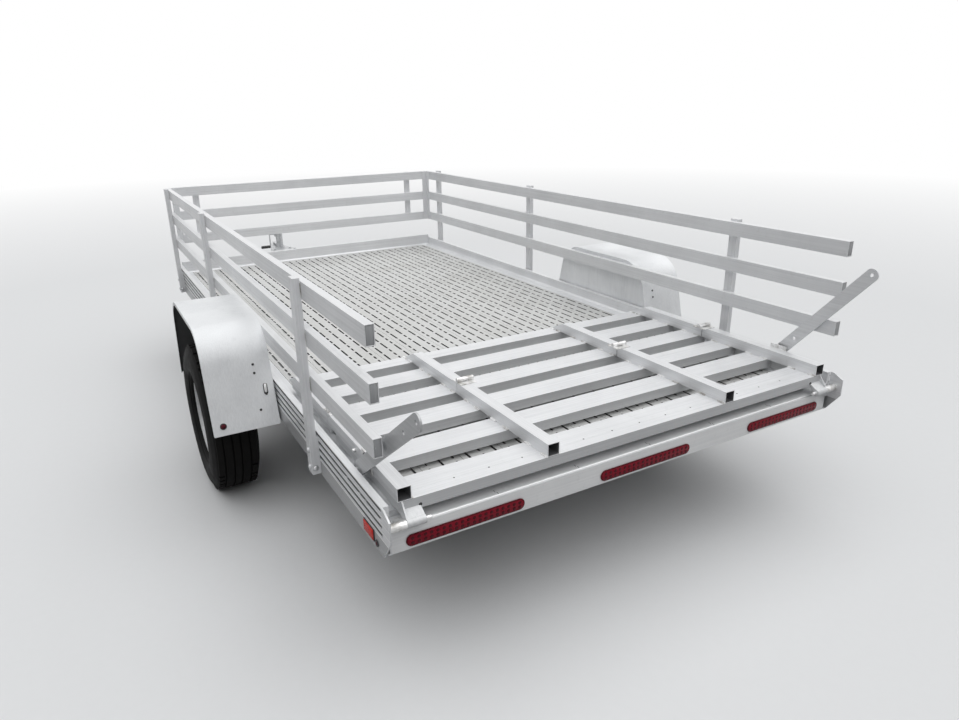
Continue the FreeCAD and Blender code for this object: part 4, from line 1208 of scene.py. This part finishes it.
@dataclass
class Wheel:
    """Treaded tyre, wheel nuts and valve of one side. Sizes in millimetres."""

    side: Side
    station: float = 1520.0
    radius: float = 332.0
    centre_half: float = 1150.0
    tread_base: float = 323.5
    tread_margin: float = 2.0
    pitches: int = 60
    notch_share: float = 0.2
    join: float = 0.03
    crease_deg: float = 28.0
    nut_circle: float = 114.3
    nut_seat_half: float = 1179.0
    nut_count: int = 5
    nut: tuple[Union[Rod, Dome], ...] = (
        Rod(4.0, 14.2, 12.8, 24), Rod(14.6, 12.2, segments=6, rounding=1.0, start=4.0),
        Dome(9.4, 5.0, start=18.0))
    valve_circle: float = 298.0
    valve_seat: float = 6.0
    # Valve's direction, outward and away from the axle
    valve_lean: tuple[float, float] = (0.9, -0.25)
    valve: tuple[Rod, ...] = (Rod(22.0, 5.8, 4.2, 14),
                              Rod(12.0, 4.6, segments=12, rounding=0.8, start=22.0))

    # Outer half section by half width and radius, from the bead to the tread's edge
    sidewall: tuple[tuple[float, float], ...] = (
        (69.3, 178.5), (69.6, 190.6), (80.0, 193.5), (86.0, 199.0), (87.0, 205.0), (92.5, 209.0),
        (98.5, 222.0), (101.8, 240.0), (102.3, 256.0), (101.6, 272.0), (98.6, 284.0),
        (97.6, 290.0), (94.2, 297.0), (89.4, 309.0), (85.2, 318.0))
    # Edges of the ribs by half width, from the outside in
    rib_edges: tuple[float, ...] = (81.0, 57.0, 50.0, 20.0, 13.0)
    # Inner wall by half width and radius
    inner_wall: tuple[tuple[float, float], ...] = (
        (-55.0, 178.5), (-79.0, 315.0), (79.0, 315.0), (55.0, 178.5))

    def centre(self) -> Vector:
        """Middle of the wheel."""
        return at(self.station, self.side.value * self.centre_half, self.radius)

    def section(self) -> list[tuple[float, float]]:
        """Closed section of the tyre as offsets across and radii."""
        half = [*self.sidewall, *((edge, self.tread_base) for edge in self.rib_edges)]
        return [*half, *((-across, radius) for across, radius in reversed(half)),
                *self.inner_wall]

    def tread(self, shape: Shape) -> None:
        """Raises the ribs and the notched shoulder blocks of the bare tyre's tread."""
        mesh = shape.mesh
        centre = self.centre()
        pitch = 2 * math.pi / self.pitches
        shoulder, rib, rib_end, middle, middle_end = self.rib_edges
        raised = []
        for face in mesh.faces:
            spot = face.calc_center_median() - centre
            across = abs(spot.y)
            radius = math.hypot(spot.x, spot.z)
            if radius < self.tread_base - self.tread_margin or across > shoulder:
                continue
            turn = math.atan2(spot.x, spot.z) % pitch
            notch = across > rib and turn > pitch * (1 - self.notch_share)
            groove = rib_end < across < rib or middle_end < across < middle
            if not (groove or notch):
                raised.append(face)
        pulled = bmesh.ops.extrude_face_region(mesh, geom=raised)
        bmesh.ops.delete(mesh, geom=raised, context="FACES")
        tops = [item for item in pulled["geom"] if isinstance(item, bmesh.types.BMVert)]
        grow = self.radius / self.tread_base
        bmesh.ops.scale(mesh, vec=(grow, 1.0, grow), verts=tops,
                        space=Matrix.Translation(-centre))

    def tyre(self) -> None:
        """Builds the tyre from one pitch of its tread, repeated round the axle."""
        shape = Shape()
        mesh = shape.mesh
        centre = self.centre()
        verts = [mesh.verts.new(centre + Vector((0.0, across, radius)))
                 for across, radius in self.section()]
        edges = [mesh.edges.new((verts[index - 1], verts[index])) for index in range(len(verts))]
        pitch = 2 * math.pi / self.pitches
        geometry = [*verts, *edges]
        for share in ((1 - self.notch_share) / 2, (1 - self.notch_share) / 2, self.notch_share):
            spun = bmesh.ops.spin(mesh, geom=geometry, cent=centre, axis=Y_AXIS,
                                  angle=-pitch * share, steps=1, use_merge=False)
            geometry = spun["geom_last"]
        whole = mesh.verts[:] + mesh.edges[:] + mesh.faces[:]
        for index in range(1, self.pitches):
            copied = bmesh.ops.duplicate(mesh, geom=whole)
            moved = [item for item in copied["geom"] if isinstance(item, bmesh.types.BMVert)]
            bmesh.ops.rotate(mesh, cent=centre, verts=moved,
                             matrix=Matrix.Rotation(pitch * index, 3, "Y"))
        bmesh.ops.remove_doubles(mesh, verts=mesh.verts, dist=self.join)
        self.tread(shape)
        word = self.side.word
        shape.object(f"treaded_tyre_{word}", f"wheel_{word}",
                     TyreRubber(f"tyre_rubber_{word}", tuple(centre * MM)), [f"tyre_{word}"],
                     self.crease_deg)

    def nuts_and_valve(self) -> None:
        """Builds the zinc-plated nuts over the studs and the rubber valve."""
        outward = self.side.outward
        seat = at(self.station, self.side.value * self.nut_seat_half, self.radius)
        nuts, valve = Shape(), Shape()
        for index in range(self.nut_count):
            turn = 2 * math.pi * index / self.nut_count
            foot = seat + Vector((math.sin(turn), 0.0, math.cos(turn))) * (self.nut_circle / 2)
            nuts.fit(foot, outward, *self.nut)
        turn = math.pi / self.nut_count
        arm = Vector((math.sin(turn), 0.0, math.cos(turn)))
        foot = seat + arm * (self.valve_circle / 2) + outward * self.valve_seat
        axis = outward * self.valve_lean[0] + arm * self.valve_lean[1]
        valve.fit(foot, axis.normalized(), *self.valve)
        word = self.side.word
        nuts.object(f"wheel_nuts_{word}", f"wheel_{word}", ZINC)
        valve.object(f"tyre_valve_{word}", f"wheel_{word}", RUBBER)

    def build(self) -> None:
        """Builds the tyre and the small parts on the wheel."""
        self.tyre()
        self.nuts_and_valve()


@dataclass
class RampFittings:
    """Weld beads, screws and knobs on the folding ramp. Sizes in millimetres."""

    slat_top: float = 589.0
    tube_halves: tuple[float, float] = (906.0, 394.0)
    tube_size: float = 45.0
    # Half width of the side plates, past which the outer tubes have no slat beside them
    plate_half: float = 912.0
    # Slats by rear station and width
    lower_slats: tuple[tuple[float, float], ...] = ((4.0, 128.0), (235.0, 114.0), (429.0, 114.0))
    upper_slats: tuple[tuple[float, float], ...] = ((618.0, 114.0), (817.0, 114.0),
                                                    (1015.0, 85.0))
    bead_length: float = 28.0
    bead_radius: float = 5.5
    bead_inset: float = 3.0
    # Shares of the bead's radius by which it stands above the slat and beside the tube
    bead_rise: float = 0.35
    bead_gap: float = 0.4
    screw_station: float = 48.0
    screw_pitch: float = 121.0
    screw_count: int = 13
    screw_gap: float = 32.0
    screw_sunk: float = 0.4
    screw: Rod = Rod(0.9, 3.4, 2.6, 14)
    line_gap: float = 23.0
    line_half: float = 1.0
    # Die line's lower and upper faces from the slat's top
    line_faces: tuple[float, float] = (-0.2, 0.35)
    end_screw_half: float = 858.0
    end_screw_height: float = 564.0
    end_screw: Rod = Rod(2.2, 5.8, 4.6, 16)
    knob_station: float = 224.0
    knob_height: float = 639.0
    knob_half: float = 932.5
    knob: Rod = Rod(6.2, 11.8, segments=24, rounding=1.6)

    def welds(self, slats: Sequence[tuple[float, float]], name: str, body: str) -> None:
        """Lays stitches where the tubes cross the slats.

        Args:
            slats: Slats by rear station and width.
            name: Piece's name.
            body: Body that the stitches ride on.
        """
        shape = Shape()
        beside = self.tube_size / 2 + self.bead_radius * self.bead_gap
        height = self.slat_top + self.bead_radius * self.bead_rise
        halves = [middle + edge * beside for middle in self.tube_halves for edge in (-1, 1)]
        for y in (side.value * half for half in halves if half < self.plate_half for side in Side):
            for rear, width in slats:
                far = rear + width - self.bead_inset - self.bead_length
                for start in (rear + self.bead_inset, far):
                    shape.bead(at(start, y, height), at(start + self.bead_length, y, height),
                               self.bead_radius, Z_AXIS)
        shape.object(name, body, WELD)

    def screws(self) -> None:
        """Sets a row of screws and a faint die line along the rear slat."""
        heads, line = Shape(), Shape()
        outer, inner = self.tube_halves
        for index in range(self.screw_count):
            y = self.screw_pitch * (index - (self.screw_count - 1) / 2)
            if min(abs(abs(y) - half) for half in self.tube_halves) > self.screw_gap:
                heads.fit(at(self.screw_station, y, self.slat_top - self.screw_sunk), Z_AXIS,
                          self.screw)
        for low, high in ((-outer, -inner), (-inner, inner), (inner, outer)):
            line.block(at(self.screw_station - self.line_half, low + self.line_gap,
                          self.slat_top + self.line_faces[0]),
                       at(self.screw_station + self.line_half, high - self.line_gap,
                          self.slat_top + self.line_faces[1]))
        for side in Side:
            heads.fit(at(self.lower_slats[0][0] + self.screw_sunk,
                         side.value * self.end_screw_half, self.end_screw_height), -X_AXIS,
                      self.end_screw)
        heads.object("rear_slat_screws", "ramp_lower", RUBBER)
        line.object("rear_slat_die_line", "ramp_lower", ACROSS)

    def knobs(self) -> None:
        """Puts black caps on the latch pins."""
        shape = Shape()
        for side in Side:
            foot = at(self.knob_station, side.value * self.knob_half, self.knob_height)
            shape.fit(foot, side.outward, self.knob)
        shape.object("latch_knob_caps", "ramp_lower", RUBBER)

    def build(self) -> None:
        """Builds the ramp's fittings."""
        self.welds(self.lower_slats, "lower_ramp_welds", "ramp_lower")
        self.welds(self.upper_slats, "upper_ramp_welds", "ramp_upper")
        self.screws()
        self.knobs()


@dataclass
class RailFittings:
    """Bolts at the posts' feet, welds on the rails, and end plugs. Sizes in millimetres."""

    posts: tuple[float, ...] = (575.0, 2230.0, 3525.0)
    post_width: float = 44.0
    post_depth: float = 25.0
    post_outer: float = 1013.0
    rail_outer: float = 988.0
    rail_inner: float = 960.0
    rail_rear: float = 3.0
    rail_tops: tuple[float, ...] = (1121.0, 962.0, 803.0)
    rail_height: float = 60.0
    plug_inset: float = 3.9
    plug_rounding: float = 0.8
    # Plugs' rear and front faces from the ends that they close
    rail_plug: tuple[float, float] = (1.2, 10.0)
    edge_plug: tuple[float, float] = (1.0, 8.0)
    bead_radius: float = 2.8
    bead_gap: float = 1.2
    bead_inset: float = 8.0
    button: tuple[Union[Rod, Dome], ...] = (Rod(1.4, 11.5, segments=24), Dome(9.2, 5.2, start=1.4))
    slot_bolt: Rod = Rod(8.2, 5.6, segments=6, rounding=0.8)
    bolt_heights: tuple[float, float] = (462.0, 527.0)
    slot_bolt_stations: tuple[float, ...] = (12.0, 128.0, 176.0, 288.0)
    slot_bolt_height: float = 547.5
    slot_floor: float = 972.0
    # Hollow of each deck edge strip: its rear station, half widths and heights
    edge_rear: float = 60.0
    edge_halves: tuple[float, float] = (904.4, 952.6)
    edge_heights: tuple[float, float] = (508.4, 527.6)

    def bolts(self) -> None:
        """Builds round-headed bolts on the posts and zinc bolts in the side's slots."""
        shape = Shape()
        for side in Side:
            for station in self.posts:
                for height in self.bolt_heights:
                    shape.fit(at(station, side.value * self.post_outer, height), side.outward,
                              *self.button)
                shape.fit(at(station - self.post_width / 2,
                             side.value * (self.post_outer - self.post_depth / 2),
                             self.bolt_heights[0]), -X_AXIS, *self.button)
            for station in self.slot_bolt_stations:
                foot = at(station, side.value * self.slot_floor, self.slot_bolt_height)
                shape.fit(foot, side.outward, self.slot_bolt)
        shape.object("post_and_slot_bolts", "chassis", ZINC)

    def welds(self) -> None:
        """Lays upright stitches down both edges of each post at each rail."""
        shape = Shape()
        for side in Side:
            y = side.value * (self.rail_outer + self.bead_radius / 2)
            for station in self.posts:
                for top in self.rail_tops:
                    for edge in (-1, 1):
                        x = station + edge * (self.post_width / 2 + self.bead_gap)
                        shape.bead(at(x, y, top - self.rail_height + self.bead_inset),
                                   at(x, y, top - self.bead_inset), self.bead_radius, Y_AXIS)
        shape.object("rail_welds", "chassis", WELD)

    def plugs(self) -> None:
        """Closes the open rear ends of the rails and the deck edges just inside their walls."""
        rails, edges = Shape(), Shape()
        near, far = self.edge_halves
        low, high = self.edge_heights
        for side in Side:
            edges.block(at(self.edge_rear + self.edge_plug[0], side.value * near, low),
                        at(self.edge_rear + self.edge_plug[1], side.value * far, high),
                        self.plug_rounding)
            for top in self.rail_tops:
                rails.block(at(self.rail_rear + self.rail_plug[0],
                               side.value * (self.rail_inner + self.plug_inset),
                               top - self.rail_height + self.plug_inset),
                            at(self.rail_rear + self.rail_plug[1],
                               side.value * (self.rail_outer - self.plug_inset),
                               top - self.plug_inset), self.plug_rounding)
        edges.object("deck_edge_plugs", "chassis", ACROSS)
        rails.object("rail_end_plugs", "chassis", SHADED_PLUG)

    def build(self) -> None:
        """Builds the bolts, the welds and the plugs."""
        self.bolts()
        self.welds()
        self.plugs()


@dataclass
class BumperSlits:
    """Short drain slits in pairs along the rear bumper's ledge, drawn as thin dark strips whose
    black is painted shade. Sizes in millimetres.
    """

    first: float = 595.0
    pitch: float = 309.0
    count: int = 5
    ledge: float = 514.0
    length: float = 11.0
    width: float = 1.8
    # Lower and upper faces from the ledge
    faces: tuple[float, float] = (-0.4, 0.25)
    # Each slit of a pair by station and step to the left
    pair: tuple[tuple[float, float], ...] = ((20.0, 4.0), (7.5, 0.0))

    def build(self) -> None:
        """Builds the slits as thin dark strips of painted shade."""
        shape = Shape()
        for index in range(self.count):
            for station, step in self.pair:
                y = self.first - self.pitch * index + step
                shape.block(at(station, y, self.ledge + self.faces[0]),
                            at(station + self.length, y + self.width,
                               self.ledge + self.faces[1]))
        shape.object("bumper_slits", "chassis", RUBBER)


@dataclass
class TongueFittings:
    """Bolts on the coupler and the grip on the jack's crank. Sizes in millimetres."""

    plate_top: float = 436.0
    # Coupler bolts by station and half width
    bolts: tuple[tuple[float, float], ...] = ((4600.0, 92.0), (4664.0, 66.0))
    bolt: tuple[Rod, ...] = hexagon(19.0, 8.0)
    jack_station: float = 4740.0
    jack_top: float = 585.0
    jack_cap: Dome = Dome(26.0, 5.5, 24, start=-3.0)
    collar_radius: float = 36.5
    collar_top: float = 441.0
    collar_bolts: int = 3
    collar_bolt: tuple[Rod, ...] = hexagon(10.0, 5.0)
    grip_foot: float = 86.5
    grip_height: float = 453.0
    grip: Rod = Rod(78.0, 12.0, segments=28, rounding=2.5)
    ring: Rod = Rod(4.0, 13.0, segments=28, rounding=0.8, start=12.0)
    ring_pitch: float = 10.5
    ring_count: int = 6

    def build(self) -> None:
        """Builds the bolts, the jack's cap and its grip."""
        metal, grip = Shape(), Shape()
        for station, half in self.bolts:
            for side in Side:
                metal.fit(at(station, side.value * half, self.plate_top), Z_AXIS, *self.bolt)
        for index in range(self.collar_bolts):
            turn = math.pi / 3 + 2 * math.pi * index / self.collar_bolts
            metal.fit(at(self.jack_station + self.collar_radius * math.cos(turn),
                         self.collar_radius * math.sin(turn), self.collar_top), Z_AXIS,
                      *self.collar_bolt)
        metal.fit(at(self.jack_station, 0.0, self.jack_top), Z_AXIS, self.jack_cap)
        foot = at(self.jack_station, self.grip_foot, self.grip_height)
        grip.fit(foot, Y_AXIS, self.grip)
        for index in range(self.ring_count):
            grip.fit(foot + Y_AXIS * (self.ring_pitch * index), Y_AXIS, self.ring)
        metal.object("coupler_and_jack_bolts", "chassis", ZINC)
        grip.object("crank_grip", "chassis", RUBBER)


@dataclass
class CadDress:
    """Finishes of the nodes that keep their CAD shape. Sizes in millimetres."""

    rounding: float = 1.2
    join: float = 0.02
    flat_deg: float = 0.4
    sharp_deg: float = 40.0
    arm_left_deg: float = 36.5
    arm_right_deg: float = 49.0

    def table(self) -> dict[Finish, list[str]]:
        """Nodes by finish."""
        sides = [side.word for side in Side]
        # The left arm's darker aluminium is painted shade
        arm_left = MillAluminium("aluminium_arm_left_painted_shade", Grain.LENGTH, -self.arm_left_deg,
                                 bright=(0.54, 0.55, 0.56), dull=(0.43, 0.44, 0.45))
        arm_right = MillAluminium("aluminium_arm_right", Grain.LENGTH, -self.arm_right_deg)
        return {
            ALONG: ["deck_edges", "tongue_beams", *(f"side_rails_{word}" for word in sides)],
            TUBES: ["ramp_lower_tubes", "ramp_upper_tubes"],
            BUMPER: ["rear_bumper"],
            PLATES: ["ramp_lower_plates", "ramp_upper_plates"],
            SLOTTED: [f"side_frame_{word}" for word in sides],
            ACROSS: ["front_board", "crossmembers", "front_rails"],
            SLATS: ["ramp_lower_slats", "ramp_upper_slats"],
            UPRIGHT: ["front_uprights", *(f"side_posts_{word}" for word in sides)],
            arm_left: ["support_arm_left"],
            arm_right: ["support_arm_right"],
            WELD: ["ramp_lower_knuckles", "ramp_upper_knuckles", "frame_hinges", "ramp_latches"],
            **{SatinSheet(f"satin_fender_{side.word}", tuple(Wheel(side).centre() * MM)):
               [f"fender_{side.word}"] for side in Side},
            ZINC: ["axle_beam", "torsion_arms", "coupler", "coupler_latch", "jack_housing",
                   "jack_crank", "jack_leg", "jack_foot", "arm_bolts"],
            WHEEL: [f"rim_{word}" for word in sides],
            HUB: [f"hub_{word}" for word in sides],
        }

    def soften(self, node: bpy.types.Object) -> None:
        """Joins a node's loose triangles and slightly rounds its edges."""
        weld = node.modifiers.new("join_corners", "WELD")
        weld.merge_threshold = self.join * MM
        flats = node.modifiers.new("joined_flats", "DECIMATE")
        flats.decimate_type = "DISSOLVE"
        flats.angle_limit = math.radians(self.flat_deg)
        edge = node.modifiers.new("rounded_edges", "BEVEL")
        edge.width = self.rounding * MM
        edge.segments = 2
        edge.limit_method = "ANGLE"
        edge.angle_limit = math.radians(self.sharp_deg)
        edge.use_clamp_overlap = True
        even = node.modifiers.new("even_normals", "WEIGHTED_NORMAL")
        even.keep_sharp = False

    def build(self) -> None:
        """Gives each node its finish and its rounded edges."""
        for finish, names in self.table().items():
            for name in names:
                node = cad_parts[name]
                node.data.materials.clear()
                node.data.materials.append(PAINTS.of(finish))
                self.soften(node)
                LOG.info("%s: %s, %d faces", name, finish.name, len(node.data.polygons))


@dataclass
class Studio:
    """Floor, soft light, white surround and the photograph's camera."""

    floor_radius: float = 60.0
    ambient: float = 0.11
    sky_strength: float = 2.75
    sky_from: tuple[float, float, float] = (-0.18, 0.0, 1.0)
    sky_angle_deg: float = 100.0
    # Camera: its place in millimetres, its turns in radians, its lens in millimetres
    eye: tuple[float, float, float] = (-1600.0, 1569.0, 1641.0)
    yaw: float = -0.5171
    pitch: float = -0.3524
    roll: float = -0.0165
    lens: float = 26.43

    def floor(self) -> None:
        """Builds the round floor."""
        shape = bmesh.new()
        bmesh.ops.create_circle(shape, cap_ends=True, segments=96, radius=self.floor_radius)
        data = bpy.data.meshes.new("studio_floor")
        shape.to_mesh(data)
        shape.free()
        data.materials.append(PAINTS.of(FloorPaint()))
        floor = bpy.data.objects.new("studio_floor", data)
        bpy.context.scene.collection.objects.link(floor)

    def lamp(self) -> None:
        """Adds one wide, soft, distant lamp overhead."""
        data = bpy.data.lights.new("sky_light", "SUN")
        data.energy = self.sky_strength
        data.angle = math.radians(self.sky_angle_deg)
        lamp = bpy.data.objects.new("sky_light", data)
        lamp.rotation_euler = Vector(self.sky_from).to_track_quat("Z", "Y").to_euler()
        bpy.context.scene.collection.objects.link(lamp)

    def surround(self) -> None:
        """Sets a white surround that lights the trailer only softly."""
        world = bpy.data.worlds.new("white_surround")
        bpy.context.scene.world = world
        graph = Graph(world)
        strength = graph.seen() * (1.0 - self.ambient) + self.ambient
        light = graph.add("ShaderNodeBackground", {}, {"Color": (1.0, 1.0, 1.0, 1.0),
                                                       "Strength": strength})
        graph.add("ShaderNodeOutputWorld", {}, {"Surface": Wire(graph, light.outputs[0])})

    def camera(self) -> None:
        """Stands the camera where the photograph was taken."""
        cos_pitch = math.cos(self.pitch)
        forward = Vector((math.cos(self.yaw) * cos_pitch, math.sin(self.yaw) * cos_pitch,
                          math.sin(self.pitch)))
        level = Vector((math.sin(self.yaw), -math.cos(self.yaw), 0.0))
        above = level.cross(forward)
        right = level * math.cos(self.roll) + above * math.sin(self.roll)
        up = above * math.cos(self.roll) - level * math.sin(self.roll)
        data = bpy.data.cameras.new("photo_camera")
        data.lens = self.lens
        data.sensor_width = 36.0
        data.sensor_fit = "HORIZONTAL"
        camera = bpy.data.objects.new("photo_camera", data)
        camera.matrix_world = Matrix.Translation(at(*self.eye) * MM) @ Matrix(
            (right, up, -forward)).transposed().to_4x4()
        bpy.context.scene.collection.objects.link(camera)
        bpy.context.scene.camera = camera

    def build(self) -> None:
        """Builds the studio."""
        self.floor()
        self.lamp()
        self.surround()
        self.camera()
        bpy.context.scene.view_settings.view_transform = "Standard"


def main() -> None:
    """Builds the studio and every piece of the trailer in order."""
    logging.basicConfig(level=logging.INFO, format="%(message)s")
    for part in (Studio(), CadDress(), SlottedDeck(), LampSet(), FenderFittings(),
                 Wheel(Side.LEFT), Wheel(Side.RIGHT), RampFittings(), RailFittings(),
                 BumperSlits(), TongueFittings()):
        LOG.info("Building %s", type(part).__name__)
        part.build()


if __name__ == "__main__":
    main()
